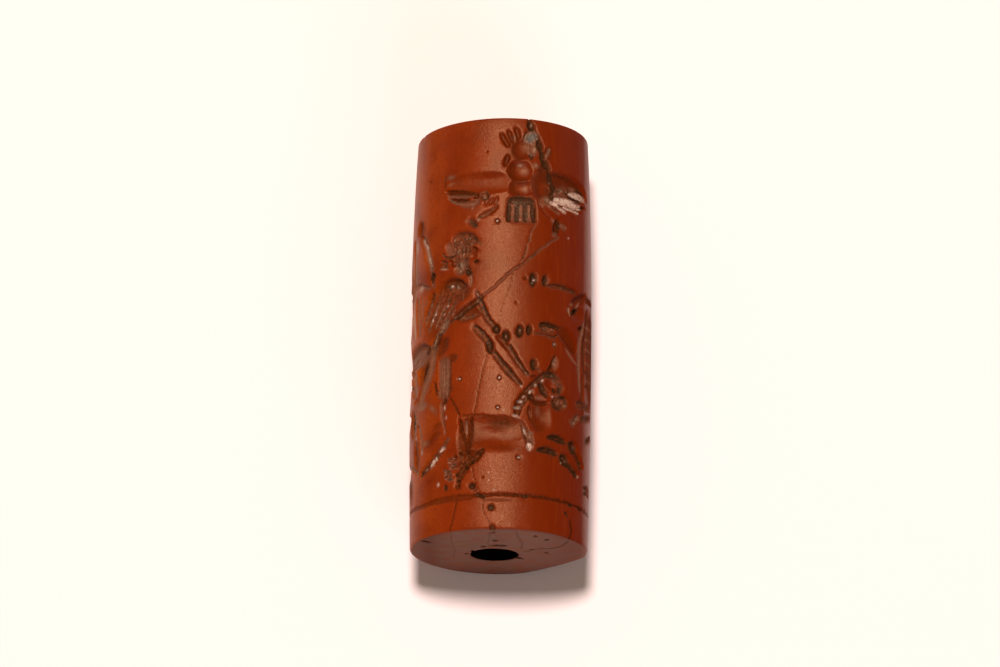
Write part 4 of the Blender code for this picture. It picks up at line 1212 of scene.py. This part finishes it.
@dataclass
class Stone:
    """The seal: a barrel with a bore, refined and carved.

    All sizes are in millimetres; the widest radius and the height of the axis come from the
    packed seal. Each number of the swell is the share of the radius lost with one more power of
    the place along the axis. A sunk mark is moved a little, so that from above it shows in place.
    """

    panels: list[Panel]
    widest_radius: float
    axis_height: float
    length: float = 31.0
    swell: tuple[float, ...] = (0.002, 0.037, 0.012, 0.005)
    rim_rounding: float = 0.18
    sides: int = 120
    wall_rows: int = 88
    face_rings: int = 13
    bore_rings: int = 22
    mouth_rings: tuple[float, float] = (0.05, 0.3)
    bore_mouth: float = 1.75
    bore_meeting: float = 1.5
    foot_bore_offset: Point = (-0.3, -0.75)
    sky_bore_offset: Point = (0.1, 0.2)
    foot_skew: float = math.radians(-0.2)
    sky_skew: float = math.radians(1.3)
    corner_direction: float = math.radians(-42)
    corner_inset: float = 1.0
    corner_setback: float = 0.30
    corner_softness: float = 0.12
    front_reach: float = 10.2
    sight_limit: float = math.radians(65)
    sight_fade: float = 0.18
    sight_lean: float = 0.308
    settled: float = 0.6
    soiled_reach: float = 1.12
    soft_edge: float = 0.42
    soft_depth: float = 0.04
    ripple: float = 0.006
    nick_depth: float = 0.16
    nick_floor: float = 0.28
    sway: float = 0.035
    chatter: float = 0.34
    hand_drilled: float = 0.03
    touch: float = 1e-4

    def build(self) -> bpy.types.Object:
        """Build the stone and return its object."""
        blank = self.turned_blank()
        for level in (1, 2, 3):
            self.refine(blank, level)
            log.info("refined %d times: %d faces", level, len(blank.faces))
        mesh = bpy.data.meshes.new("seal_stone")
        blank.to_mesh(mesh)
        blank.free()
        self.shape(mesh)
        mesh.shade_smooth()
        stone = bpy.data.objects.new("seal_stone", mesh)
        bpy.context.scene.collection.objects.link(stone)
        return stone

    def turned_blank(self) -> bmesh.types.BMesh:
        """Turn a plain tube: straight wall, square rims and a straight bore, closed all round."""
        blank = bmesh.new()
        half, outer, inner = self.length / 2, self.widest_radius, self.bore_mouth
        rim, rows, rings = self.rim_rounding, self.wall_rows, self.face_rings
        wall = [-half, -half + rim / 3, -half + 2 * rim / 3]
        wall += [-half + rim + (self.length - 2 * rim) * row / rows for row in range(rows + 1)]
        wall += [half - 2 * rim / 3, half - rim / 3, half]
        inward = [outer + (inner - outer) * ring / rings for ring in range(1, rings + 1)]
        section = [(outer, y) for y in wall] + [(radius, half) for radius in inward]
        depths = [*self.mouth_rings]
        depths += [self.length * ring / self.bore_rings for ring in range(1, self.bore_rings)]
        depths += [self.length - depth for depth in reversed(self.mouth_rings)]
        section += [(inner, half - depth) for depth in depths]
        section += [(radius, -half) for radius in reversed(inward)]
        corners = [blank.verts.new((radius, y, 0)) for radius, y in section]
        loop = [blank.edges.new((corners[i - 1], corners[i])) for i in range(len(corners))]
        bmesh.ops.spin(blank, geom=corners + loop, axis=(0, 1, 0), cent=(0, 0, 0), steps=self.sides,
                       angle=math.tau, use_merge=True)
        bmesh.ops.recalc_face_normals(blank, faces=blank.faces[:])
        return blank

    def refine(self, blank: bmesh.types.BMesh, level: int) -> None:
        """Halve the mesh in and around the marks.

        Args:
            blank: the turned tube, not yet carved.
            level: 1 for all marks, 2 for narrow marks and the edges of broad ones, 3 for the
                narrowest marks at the front.
        """
        blank.faces.ensure_lookup_table()
        centres = np.array([face.calc_center_median() for face in blank.faces])
        chosen = np.zeros(len(centres), bool)
        for panel in self.panels:
            if level > panel.finest:
                continue
            places, on_surface = self.laid_out(centres, panel.surface)
            if level == 3:
                on_surface = on_surface & (np.abs(places[:, 0]) < self.front_reach)
            for mark in panel.marks:
                low, high = self.refined_band(mark, level)
                if low >= high:
                    continue
                near = self.inside_box(places, mark.box(), high + 1.0)
                index = np.flatnonzero(near & on_surface & ~chosen)
                if len(index):
                    seen = self.sighted(places[index], self.settled * mark.depth)
                    clearance = mark.clearance(seen if panel.surface == "wall" else places[index])
                    chosen[index[(clearance > low) & (clearance < high)]] = True
        edges = {edge for i in np.flatnonzero(chosen) for edge in blank.faces[int(i)].edges}
        bmesh.ops.subdivide_edges(blank, edges=sorted(edges, key=lambda edge: edge.index), cuts=1,
                                  use_grid_fill=True)
        blank.edges.index_update()
        blank.verts.index_update()

    @staticmethod
    def refined_band(mark: Mark, level: int) -> tuple[float, float]:
        """Return the lowest and highest clearance at which a mark's mesh is halved at a level."""
        if level == 1:
            return -math.inf, FIRST_MARGIN
        if level == 2:
            return -SECOND_RIM if mark.girth > BROAD else -math.inf, SECOND_MARGIN
        return (-math.inf, 0.0) if mark.girth <= NARROW and mark.depth > SHALLOW else (0.0, 0.0)

    def sighted(self, places: np.ndarray, sunk: np.ndarray | float) -> np.ndarray:
        """Return where places on the wall are seen from above once they are sunk.

        Args:
            places: places across and along the wall, in millimetres.
            sunk: how far they are sunk, one value or one for each place.

        Returns:
            The places across and along the bare wall that hide them.
        """
        angle = places[:, 0] / self.widest_radius
        held = np.clip(angle, -self.sight_limit, self.sight_limit)
        sunk = sunk * (1 - ease(np.abs(angle), self.sight_limit + self.sight_fade, math.pi / 2))
        across = places[:, 0] - sunk * np.tan(held)
        return np.stack([across, places[:, 1] - sunk * self.sight_lean / np.cos(held)], axis=1)

    def laid_out(self, points: np.ndarray, surface: str) -> tuple[np.ndarray, np.ndarray]:
        """Lay points of the blank out on one of its surfaces.

        Args:
            points: places on the blank, in millimetres.
            surface: wall, foot or sky.

        Returns:
            The places across and along the surface, and which points are on it.
        """
        radial = np.hypot(points[:, 0], points[:, 2])
        half = self.length / 2
        if surface == "wall":
            across = np.arctan2(points[:, 0], points[:, 2]) * self.widest_radius
            inner_limit = (self.widest_radius + self.bore_mouth) / 2
            on_end = np.abs(points[:, 1]) > half - self.touch
            on_wall = np.where(on_end, radial > self.widest_radius - 10 * self.touch, radial > inner_limit)
            return np.stack([across, points[:, 1] + half], axis=1), on_wall
        side = -1.0 if surface == "foot" else 1.0
        on_end = points[:, 1] * side > half - self.touch
        radius, pull = self.end_spread(radial, side)
        angle = np.arctan2(points[:, 0], points[:, 2])
        offset = self.foot_bore_offset if surface == "foot" else self.sky_bore_offset
        x = radius * np.sin(angle) + offset[0] * pull
        z = radius * np.cos(angle) + offset[1] * pull
        return np.stack([x, z], axis=1), on_end

    def end_spread(self, radial: np.ndarray, side: float) -> tuple[np.ndarray, np.ndarray]:
        """Return the finished radius of points on an end face, and how far the bore pulls them."""
        share = (radial - self.bore_mouth) / (self.widest_radius - self.bore_mouth)
        rim = float(self.wall_radius(np.array(side * self.length / 2))) - self.rim_rounding
        return self.bore_mouth + (rim - self.bore_mouth) * share, np.clip(1 - share, 0.0, 1.0)

    @staticmethod
    def inside_box(places: np.ndarray, box: Box, margin: float) -> np.ndarray:
        """Tell which places are within a margin of a box."""
        low_u, high_u, low_v, high_v = box
        inside = (places[:, 0] > low_u - margin) & (places[:, 0] < high_u + margin)
        return inside & (places[:, 1] > low_v - margin) & (places[:, 1] < high_v + margin)

    def wall_radius(self, axial: np.ndarray) -> np.ndarray:
        """Return the barrel's radius at places along the axis."""
        place = axial / (self.length / 2)
        share = 1.0
        for power, fall in enumerate(self.swell, start=1):
            share = share - fall * place ** power
        return self.widest_radius * share

    def shape(self, mesh: bpy.types.Mesh) -> None:
        """Move the blank's points to the carved barrel and note the state of the stone at each."""
        flat = np.empty(len(mesh.vertices) * 3)
        mesh.vertices.foreach_get("co", flat)
        blank = flat.reshape(-1, 3)
        radial = np.hypot(blank[:, 0], blank[:, 2])
        angle = np.arctan2(blank[:, 0], blank[:, 2])
        axial = blank[:, 1].copy()
        half = self.length / 2
        on_end = np.abs(axial) > half - self.touch
        on_bore = ~on_end & (radial < (self.widest_radius + self.bore_mouth) / 2)
        layers, depths = self.carve(blank)

        inset = np.clip(half - np.abs(axial), 0.0, self.rim_rounding)
        rounding = self.rim_rounding - np.sqrt(np.maximum(
            self.rim_rounding ** 2 - (self.rim_rounding - inset) ** 2, 0.0))
        radius = self.wall_radius(axial) - rounding - depths["wall"] - self.unevenness(blank, axial)
        end_radius = np.where(axial < 0, self.end_spread(radial, -1.0)[0], self.end_spread(radial, 1.0)[0])
        pull = self.end_spread(radial, 1.0)[1]
        radius = np.where(on_end, end_radius - depths["wall"], radius)

        depth_in = np.abs(axial) / half
        lumps = self.hand_drilled * BORE_LUMPS.at(np.stack([angle * 1.6, axial, radial * 0], axis=1))
        taper = (self.bore_mouth - self.bore_meeting) * depth_in
        radius = np.where(on_bore, self.bore_meeting + taper + lumps * (1 - depth_in), radius)
        pull = np.where(on_end, pull, np.where(on_bore, 1.0, 0.0)) * depth_in
        offset = np.where(axial[:, None] < 0, self.foot_bore_offset, self.sky_bore_offset)
        x = radius * np.sin(angle) + offset[:, 0] * pull
        z = radius * np.cos(angle) + offset[:, 1] * pull

        place = axial / half
        slope = math.tan(self.foot_skew) * (1 - place) / 2 + math.tan(self.sky_skew) * (1 + place) / 2
        shaped = self.wear(np.stack([x, axial + x * slope + depths["foot"] - depths["sky"], z], axis=1))
        shaped[:, 2] = np.maximum(shaped[:, 2] + self.axis_height, 0.0)
        mesh.vertices.foreach_set("co", (shaped * MM).ravel())
        layers["end"] = on_end.astype(float)
        layers["bore"] = on_bore.astype(float)
        for name, values in layers.items():
            attribute = mesh.attributes.new(name, "FLOAT", "POINT")
            attribute.data.foreach_set("value", values.astype(np.float32))
        mesh.update()

    def unevenness(self, blank: np.ndarray, axial: np.ndarray) -> np.ndarray:
        """Return how far the hand-polished wall falls short of a true barrel, with nicks at the rims."""
        stretched = blank * np.array([1.0, 0.45, 1.0])
        ripple = self.ripple * (0.5 + 0.5 * POLISH_RIPPLE.at(stretched))
        near_rim = ease(np.abs(axial), self.length / 2 - 0.5, self.length / 2 - 0.1)
        nicks = self.nick_depth * np.maximum(RIM_NICKS.at(blank) - self.nick_floor, 0.0) * near_rim
        return ripple + nicks

    def wear(self, points: np.ndarray) -> np.ndarray:
        """Flatten the worn corner low on the +X side of the foot end."""
        outward = np.array([math.cos(self.corner_direction), 0, math.sin(self.corner_direction)])
        foot_radius = float(self.wall_radius(np.array(-self.length / 2)))
        start = outward * (foot_radius - self.corner_inset) - np.array([0, self.length / 2, 0])
        normal = outward * self.corner_setback - np.array([0, self.corner_inset, 0])
        normal /= np.linalg.norm(normal)
        height = (points - start) @ normal
        beyond = (height + np.sqrt(height ** 2 + self.corner_softness ** 2)) / 2
        beyond = np.where(height > -3 * self.corner_softness, beyond, 0.0)
        return points - beyond[:, None] * normal

    def carve(self, blank: np.ndarray) -> tuple[dict[str, np.ndarray], dict[str, np.ndarray]]:
        """Work out how deep the stone is cut at each point, and in what state it is.

        Args:
            blank: the points of the turned tube.

        Returns:
            The layers of the stone's state, and the depth of the cuts on each surface, one
            value for each point.
        """
        layers = {layer.name: np.zeros(len(blank)) for layer in fields(Finish)}
        depths = {surface: np.zeros(len(blank)) for surface in ("wall", "foot", "sky")}
        sway = sum(np.stack([pattern.at(blank) for pattern in pair], axis=1) * self.sway
                   for pair in (HAND_SWAY, EDGE_SWAY))
        chatter = 0.6 * COARSE_CHATTER.at(blank) + 0.5 * FINE_CHATTER.at(blank)
        for panel in self.panels:
            places, on_surface = self.laid_out(blank, panel.surface)
            places = places + sway
            depth = depths[panel.surface]
            on_wall = panel.surface == "wall"
            for mark in panel.marks:
                near = np.flatnonzero(self.inside_box(places, mark.box(), 1.0) & on_surface)
                seen = self.sighted(places[near], self.settled * mark.depth) if on_wall else places[near]
                index, spread, share = self.inside_mark(mark, seen, 1.0)
                index, profile = near[index], share * mark.tool.section(spread)
                chattered = self.chatter * (mark.depth > GLINT_DEPTH)
                roughened = 1 + chattered * mark.finish.rough * chatter[index]
                cut = mark.depth * profile * roughened
                depth[index] = depth[index] + cut if mark.deepens else np.maximum(depth[index], cut)
            seen = self.sighted(places, depth) if on_wall else places
            for mark in panel.marks:
                near = np.flatnonzero(self.inside_box(seen, mark.box(), 0.1) & on_surface)
                index, spread, share = self.inside_mark(mark, seen[near], self.soiled_reach)
                self.soil(layers, mark, near[index], spread, share)
        return layers, depths

    @staticmethod
    def inside_mark(mark: Mark, places: np.ndarray,
                    reach: float) -> tuple[np.ndarray, np.ndarray, np.ndarray]:
        """Return which places are within reach of a mark, their spread, and their share of its depth."""
        spread, share = mark.spread(places)
        index = np.flatnonzero(spread < reach)
        return index, spread[index], share[index]

    def soil(self, layers: dict[str, np.ndarray], mark: Mark, index: np.ndarray, spread: np.ndarray,
             share: np.ndarray) -> None:
        """Note the state that a mark leaves in the layers.

        Args:
            layers: the stone's state, changed in place.
            mark: the mark.
            index: the points in and just beside the mark.
            spread: their spread, 0 in the middle and 1 at the edge.
            share: their share of the mark's depth.
        """
        edge = self.soft_edge if mark.depth > self.soft_depth else 1.0
        within = ease(self.soiled_reach - spread, 0.0, edge) * ease(share, 0.0, 0.25)
        inner = np.clip(spread, 0, 1)
        across = {"dirt_and_shade": 0.7 + 0.3 * inner ** 2, "residue_and_highlight": 1 - 0.5 * inner, "bruise_and_glint": 1 - 0.3 * inner}
        for name, layer in layers.items():
            value = getattr(mark.finish, name) * within * across.get(name, 1.0)
            layer[index] = np.maximum(layer[index], value)


# ------------------------ finishes

class Recipe:
    """Node material in the making, with short words for its usual nodes."""

    def __init__(self, name: str) -> None:
        """Start a material with a plain shader."""
        self.material = bpy.data.materials.new(name)
        self.material.use_nodes = True
        self.nodes, self.links = self.material.node_tree.nodes, self.material.node_tree.links
        self.shader = self.nodes["Principled BSDF"]
        self.coordinates = self.nodes.new("ShaderNodeTexCoord")

    def layer(self, name: str) -> Socket:
        """Return the value of one of the piece's own layers."""
        node = self.nodes.new("ShaderNodeAttribute")
        node.attribute_name = name
        return node.outputs["Fac"]

    def place(self, axis: str) -> Socket:
        """Return the place along an axis, in metres."""
        node = self.nodes.new("ShaderNodeSeparateXYZ")
        self.links.new(self.coordinates.outputs["Object"], node.inputs["Vector"])
        return node.outputs[axis]

    def cloud(self, size: float, detail: float = 2.0, stretch: float = 1.0) -> Socket:
        """Return noise on object coordinates.

        Args:
            size: size of the noise's lumps in millimetres.
            detail: octaves of finer noise.
            stretch: how much longer the lumps are along Y.

        Returns:
            The noise, about 0.3 to 0.7.
        """
        mapping = self.nodes.new("ShaderNodeMapping")
        scale = 1.0 / (size * MM)
        mapping.inputs["Scale"].default_value = (scale, scale / stretch, scale)
        self.links.new(self.coordinates.outputs["Object"], mapping.inputs["Vector"])
        node = self.nodes.new("ShaderNodeTexNoise")
        node.inputs["Scale"].default_value = 1.0
        node.inputs["Detail"].default_value = detail
        self.links.new(mapping.outputs["Vector"], node.inputs["Vector"])
        return node.outputs["Fac"]

    def mapped(self, value: Socket, low: float, high: float, out_low: float = 0.0,
               out_high: float = 1.0, smooth: bool = False) -> Socket:
        """Return the value mapped from one range to another, and held inside it."""
        node = self.nodes.new("ShaderNodeMapRange")
        node.interpolation_type = "SMOOTHSTEP" if smooth else "LINEAR"
        limits = {"From Min": low, "From Max": high, "To Min": out_low, "To Max": out_high}
        for name, limit in limits.items():
            node.inputs[name].default_value = limit
        self.links.new(value, node.inputs["Value"])
        return node.outputs["Result"]

    def calc(self, operation: str, *values: Socket | float) -> Socket:
        """Return the result of a sum on sockets and numbers."""
        node = self.nodes.new("ShaderNodeMath")
        node.operation = operation
        for value, socket in zip(values, node.inputs):
            if isinstance(value, Socket):
                self.links.new(value, socket)
            else:
                socket.default_value = value
        return node.outputs[0]

    def mix(self, amount: Socket, first: Socket | Colour, second: Socket | Colour) -> Socket:
        """Return a colour mixed from first to second."""
        node = self.nodes.new("ShaderNodeMix")
        node.data_type = "RGBA"
        self.links.new(amount, node.inputs["Factor"])
        for value, socket in ((first, node.inputs[6]), (second, node.inputs[7])):
            if isinstance(value, Socket):
                self.links.new(value, socket)
            else:
                socket.default_value = value
        return node.outputs[2]

    def relief(self, height: Socket, depth: float, below: Socket | None = None) -> Socket:
        """Return a normal from fine relief.

        Args:
            height: the relief, 0 to 1.
            depth: its depth in millimetres.
            below: normal of the relief that it lies on, if any.

        Returns:
            The normal.
        """
        node = self.nodes.new("ShaderNodeBump")
        node.inputs["Strength"].default_value = 1.0
        node.inputs["Distance"].default_value = depth * MM
        self.links.new(height, node.inputs["Height"])
        if below is not None:
            self.links.new(below, node.inputs["Normal"])
        return node.outputs["Normal"]

    def patches(self, layer: Socket, size: float, broken: Socket | float = 1.0,
                softness: float = 0.6) -> Socket:
        """Return a mask that covers the share of the surface that a layer states.

        Args:
            layer: the share, from 0 to 1.
            size: size of the patches in millimetres.
            broken: how far the cover is in patches instead of even, from 0 to 1.
            softness: width of the patches' soft edge.

        Returns:
            The mask, from 0 to 1.
        """
        uneven = self.mapped(self.cloud(size, 3.0), 0.32, 0.68)
        over = self.calc("MULTIPLY_ADD", layer, 1.0 + softness, self.calc("MULTIPLY", uneven, -1.0))
        patchy = self.mapped(over, 0.0, softness, smooth=True)
        return self.calc("MULTIPLY_ADD", self.calc("SUBTRACT", patchy, layer), broken, layer)


@dataclass(frozen=True)
class RedJasper:
    """Polished red jasper with matt, grimy cuts and unpolished ends, its red painted lighter on the -X side
    and darker on the +X side as light and shade.

    A gloss band states an axis, two places along it in millimetres, and the factor on the gloss
    before the first and past the second.
    """

    red: Colour = (0.198, 0.0190, 0.0008, 1.0)
    # The next two reds are painted light on the -X side of the wall and painted shade on its +X side.
    near_red: Colour = (0.330, 0.0560, 0.0040, 1.0)
    far_red: Colour = (0.132, 0.0110, 0.0004, 1.0)
    deep_red: Colour = (0.125, 0.0095, 0.0004, 1.0)
    pale_red: Colour = (0.210, 0.0250, 0.0010, 1.0)
    cut_red: Colour = (0.165, 0.0220, 0.0020, 1.0)
    # The grime, residue and bruise colours also serve painted shade, painted highlights and sheen, and
    # painted glints.
    grime_and_shade: Colour = (0.024, 0.0085, 0.0020, 1.0)
    residue_and_highlight: Colour = (0.260, 0.1500, 0.0900, 1.0)
    clay: Colour = (0.112, 0.106, 0.082, 1.0)
    bruise_and_glint: Colour = (0.620, 0.4200, 0.3100, 1.0)
    end_skin: Colour = (0.128, 0.0520, 0.0350, 1.0)
    # Painted light: the end face is coloured lighter and pinker towards +X.
    end_lit_red: Colour = (0.200, 0.0880, 0.0640, 1.0)
    end_red: Colour = (0.150, 0.0400, 0.0200, 1.0)
    # Painted shade: the inside of the bore is coloured near black.
    bore_shade: Colour = (0.0030, 0.0012, 0.0008, 1.0)
    tint: Colour = (4.05, 2.50, 1.26, 1.0)
    gloss: float = 0.10
    gloss_bands: tuple[tuple[str, float, float, float, float], ...] = (
        ("X", 2.0, 5.2, 1.0, 0.1), ("X", 5.9, 6.45, 1.0, 14.0), ("X", -4.8, -3.2, 0.15, 1.0),
        ("X", -6.3, -5.2, 6.0, 1.0), ("Y", -15.5, -2.0, 0.75, 1.0))
    polish: float = 0.36
    end_roughness: float = 0.25
    satin_size: float = 0.05
    satin_depth: float = 0.016
    cut_depth: float = 0.02
    cut_roughness: float = 0.72

    def material(self) -> bpy.types.Material:
        """Build the node material and return it."""
        recipe = Recipe("red_jasper")
        shader = recipe.shader
        shader.inputs["Specular Tint"].default_value = self.tint
        rough, end = recipe.layer("rough"), recipe.layer("end")
        # The dirt mask lays grime and painted shade, and takes off the gloss.
        dirt_and_shade_mask = recipe.patches(recipe.layer("dirt_and_shade"), 0.24, rough)
        recipe.links.new(self.colour(recipe, rough, end, dirt_and_shade_mask), shader.inputs["Base Color"])
        matt = recipe.calc("MAXIMUM", dirt_and_shade_mask, recipe.layer("dull"))
        matt = recipe.calc("MAXIMUM", matt, recipe.layer("bore"))
        gloss = recipe.calc("MULTIPLY_ADD", matt, -self.gloss, self.gloss)
        for axis, start, end_place, at_start, at_end in self.gloss_bands:
            factor = recipe.mapped(recipe.place(axis), start * MM, end_place * MM, at_start, at_end)
            gloss = recipe.calc("MULTIPLY", gloss, factor)
        recipe.links.new(gloss, shader.inputs["Specular IOR Level"])
        worked = recipe.mapped(rough, 0.0, 1.0, self.polish, self.cut_roughness)
        shine = recipe.calc("MULTIPLY_ADD", end, self.end_roughness, worked)
        recipe.links.new(shine, shader.inputs["Roughness"])
        satin = recipe.relief(recipe.cloud(self.satin_size, 0.0), self.satin_depth)
        relief = recipe.calc("MULTIPLY", recipe.cloud(0.09, 3.0), recipe.mapped(rough, 0.0, 1.0, 0.10, 1.0))
        recipe.links.new(recipe.relief(relief, self.cut_depth, satin), shader.inputs["Normal"])
        return recipe.material

    def colour(self, recipe: Recipe, rough: Socket, end: Socket, dirt_and_shade_mask: Socket) -> Socket:
        """Return the colour of the stone, its cuts and its ends, with painted light and shade across the
        wall, painted light on the end face and painted shade in the bore.
        """
        # Painted shade darkens the wall towards +X, and painted light brightens it towards -X.
        side_shade = recipe.mapped(recipe.place("X"), -4.0 * MM, 4.5 * MM, smooth=True)
        body = recipe.mix(side_shade, self.red, self.far_red)
        side_light = recipe.mapped(recipe.place("X"), -6.4 * MM, -3.8 * MM, 0.9, 0.0)
        body = recipe.mix(side_light, body, self.near_red)
        mottled = recipe.mapped(recipe.cloud(2.6, 4.0), 0.42, 0.78)
        body = recipe.mix(mottled, body, self.deep_red)
        streaked = recipe.mapped(recipe.cloud(0.22, 3.0, 9.0), 0.52, 0.80, 0.0, 0.45)
        body = recipe.mix(streaked, body, self.pale_red)
        freckled = recipe.mapped(recipe.cloud(0.16, 3.0), 0.54, 0.74, 0.0, 0.7)
        body = recipe.mix(freckled, body, self.deep_red)
        body = recipe.mix(recipe.mapped(rough, 0.1, 0.7), body, self.cut_red)
        skin = recipe.mix(recipe.mapped(recipe.cloud(1.1, 4.0), 0.42, 0.66), self.end_skin, self.end_red)
        # Painted light: the end face is mixed lighter and pinker towards +X.
        end_side_light = recipe.mapped(recipe.place("X"), 0.0, 5.5 * MM, 0.0, 0.4)
        skin = recipe.mix(end_side_light, skin, self.end_lit_red)
        body = recipe.mix(end, body, skin)
        body = recipe.mix(dirt_and_shade_mask, body, self.grime_and_shade)
        residue_and_highlight = recipe.layer("residue_and_highlight")
        packed = recipe.mix(recipe.mapped(residue_and_highlight, 0.53, 0.62), self.residue_and_highlight, self.clay)
        # Residue patches also lay painted highlights and sheen; bruise patches also lay painted glints.
        body = recipe.mix(recipe.patches(residue_and_highlight, 0.27, rough), body, packed)
        body = recipe.mix(recipe.patches(recipe.layer("bruise_and_glint"), 0.22, rough), body, self.bruise_and_glint)
        # Painted shade: the bore is coloured near black.
        return recipe.mix(recipe.layer("bore"), body, self.bore_shade)


@dataclass(frozen=True)
class TableTop:
    """Smooth matt table of a warm white."""

    colour: Colour = (0.90, 0.755, 0.690, 1.0)
    roughness: float = 0.8
    size: float = 2.4

    def build(self) -> bpy.types.Object:
        """Build the table top and return its object."""
        top = bmesh.new()
        bmesh.ops.create_grid(top, x_segments=2, y_segments=2, size=self.size / 2)
        mesh = bpy.data.meshes.new("table_top")
        top.to_mesh(mesh)
        top.free()
        table = bpy.data.objects.new("table_top", mesh)
        bpy.context.scene.collection.objects.link(table)
        recipe = Recipe("table_white")
        recipe.shader.inputs["Base Color"].default_value = self.colour
        recipe.shader.inputs["Roughness"].default_value = self.roughness
        mesh.materials.append(recipe.material)
        return table


# ------------------------ studio

@dataclass(frozen=True)
class Studio:
    """A soft lamp overhead, a weak fill in front, and a long lens that looks down at the foot end.

    The lens is in millimetres, other lengths are in metres and energies in watts; lamp_beyond,
    lamp_aside, fill_height and fill_aside are directions in degrees.
    """

    lens: float = 216.0
    elevation: float = math.radians(72.88)
    roll: float = math.radians(0.6365)
    distance: float = 0.43699
    aside: float = -0.000066
    above: float = 0.000946
    lamp_size: float = 0.13
    lamp_reach: float = 0.8
    lamp_beyond: float = 8.6
    lamp_aside: float = 2.5
    lamp_energy: float = 7.6
    lamp_colour: tuple[float, float, float] = (1.0, 0.92, 0.94)
    room_colour: Colour = (1.0, 0.88, 0.35, 1.0)
    room_strength: float = 0.17
    fill_size: float = 0.35
    fill_reach: float = 0.6
    fill_height: float = 30.0
    fill_aside: float = 20.0
    fill_energy: float = 0.66
    fill_colour: tuple[float, float, float] = (1.0, 0.96, 1.45)

    def camera(self, aim: Vector) -> bpy.types.Object:
        """Place the camera.

        Args:
            aim: the middle of the seal's axis.

        Returns:
            The camera.
        """
        back = Vector((0, -math.cos(self.elevation), math.sin(self.elevation)))
        right = Vector((1, 0, 0))
        up = back.cross(right)
        turned_right = right * math.cos(self.roll) + up * math.sin(self.roll)
        turned_up = up * math.cos(self.roll) - right * math.sin(self.roll)
        lens = bpy.data.cameras.new("long_lens")
        lens.sensor_width = 36.0
        lens.lens = self.lens
        camera = bpy.data.objects.new("long_lens", lens)
        place = aim + back * self.distance + turned_right * self.aside + turned_up * self.above
        turn = Matrix((turned_right, turned_up, back)).transposed().to_4x4()
        camera.matrix_world = Matrix.Translation(place) @ turn
        bpy.context.scene.collection.objects.link(camera)
        bpy.context.scene.camera = camera
        return camera

    @staticmethod
    def hang(name: str, towards: Vector, reach: float, size: float, energy: float,
             colour: tuple[float, float, float]) -> None:
        """Hang a round lamp that faces the origin.

        Args:
            name: the lamp's name.
            towards: direction of the lamp from the origin.
            reach: its distance in metres.
            size: its diameter in metres.
            energy: its power in watts.
            colour: its colour.
        """
        lamp = bpy.data.lights.new(name, "AREA")
        lamp.shape = "DISK"
        lamp.size, lamp.energy, lamp.color = size, energy, colour
        hung = bpy.data.objects.new(name, lamp)
        hung.location = towards.normalized() * reach
        hung.rotation_euler = towards.to_track_quat("Z", "Y").to_euler()
        bpy.context.scene.collection.objects.link(hung)

    def light(self) -> None:
        """Hang a lamp over the table, a little beyond the seal, and a weak one in front, in a dim room."""
        beyond, aside = math.radians(self.lamp_beyond), math.radians(self.lamp_aside)
        self.hang("round_lamp", Vector((-math.sin(aside), math.sin(beyond), math.cos(beyond))),
                  self.lamp_reach, self.lamp_size, self.lamp_energy, self.lamp_colour)
        height, aside = math.radians(self.fill_height), math.radians(self.fill_aside)
        self.hang("front_fill", Vector((math.sin(aside), -math.cos(aside), math.tan(height))),
                  self.fill_reach, self.fill_size, self.fill_energy, self.fill_colour)
        world = bpy.data.worlds.new("dim_room")
        world.use_nodes = True
        background = world.node_tree.nodes["Background"]
        background.inputs["Color"].default_value = self.room_colour
        background.inputs["Strength"].default_value = self.room_strength
        bpy.context.scene.world = world
        bpy.context.scene.view_settings.view_transform = "Standard"


# ------------------------ assembly

def main() -> None:
    """Build the stone, the table and the studio in order."""
    logging.basicConfig(level=logging.INFO, format="%(name)s: %(message)s")
    low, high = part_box("seal")
    radius = (high[0] - low[0]) / 2 / MM
    panels = [
        Panel("wall", (FarSide(),), finest=2),
        Panel("wall", (WingedFigure(), BeardedBeast(), ManedBeast(), WalkingAnimal(), GroundLine(), Wear())),
        Panel("foot", (FootEnd(),)),
        Panel("sky", (SkyEnd(),), finest=2),
    ]
    stone = Stone(panels, widest_radius=radius, axis_height=high[2] / MM - radius).build()
    stone.data.materials.append(RedJasper().material())
    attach(stone, "root")
    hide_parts("seal")
    triangles = sum(len(polygon.vertices) - 2 for polygon in stone.data.polygons)
    log.info("stone: %d triangles, %d marks", triangles, sum(len(panel.marks) for panel in panels))
    table = TableTop().build()
    studio = Studio()
    studio.camera(Vector((0, 0, high[2] - radius * MM)))
    studio.light()


if __name__ == "__main__":
    main()
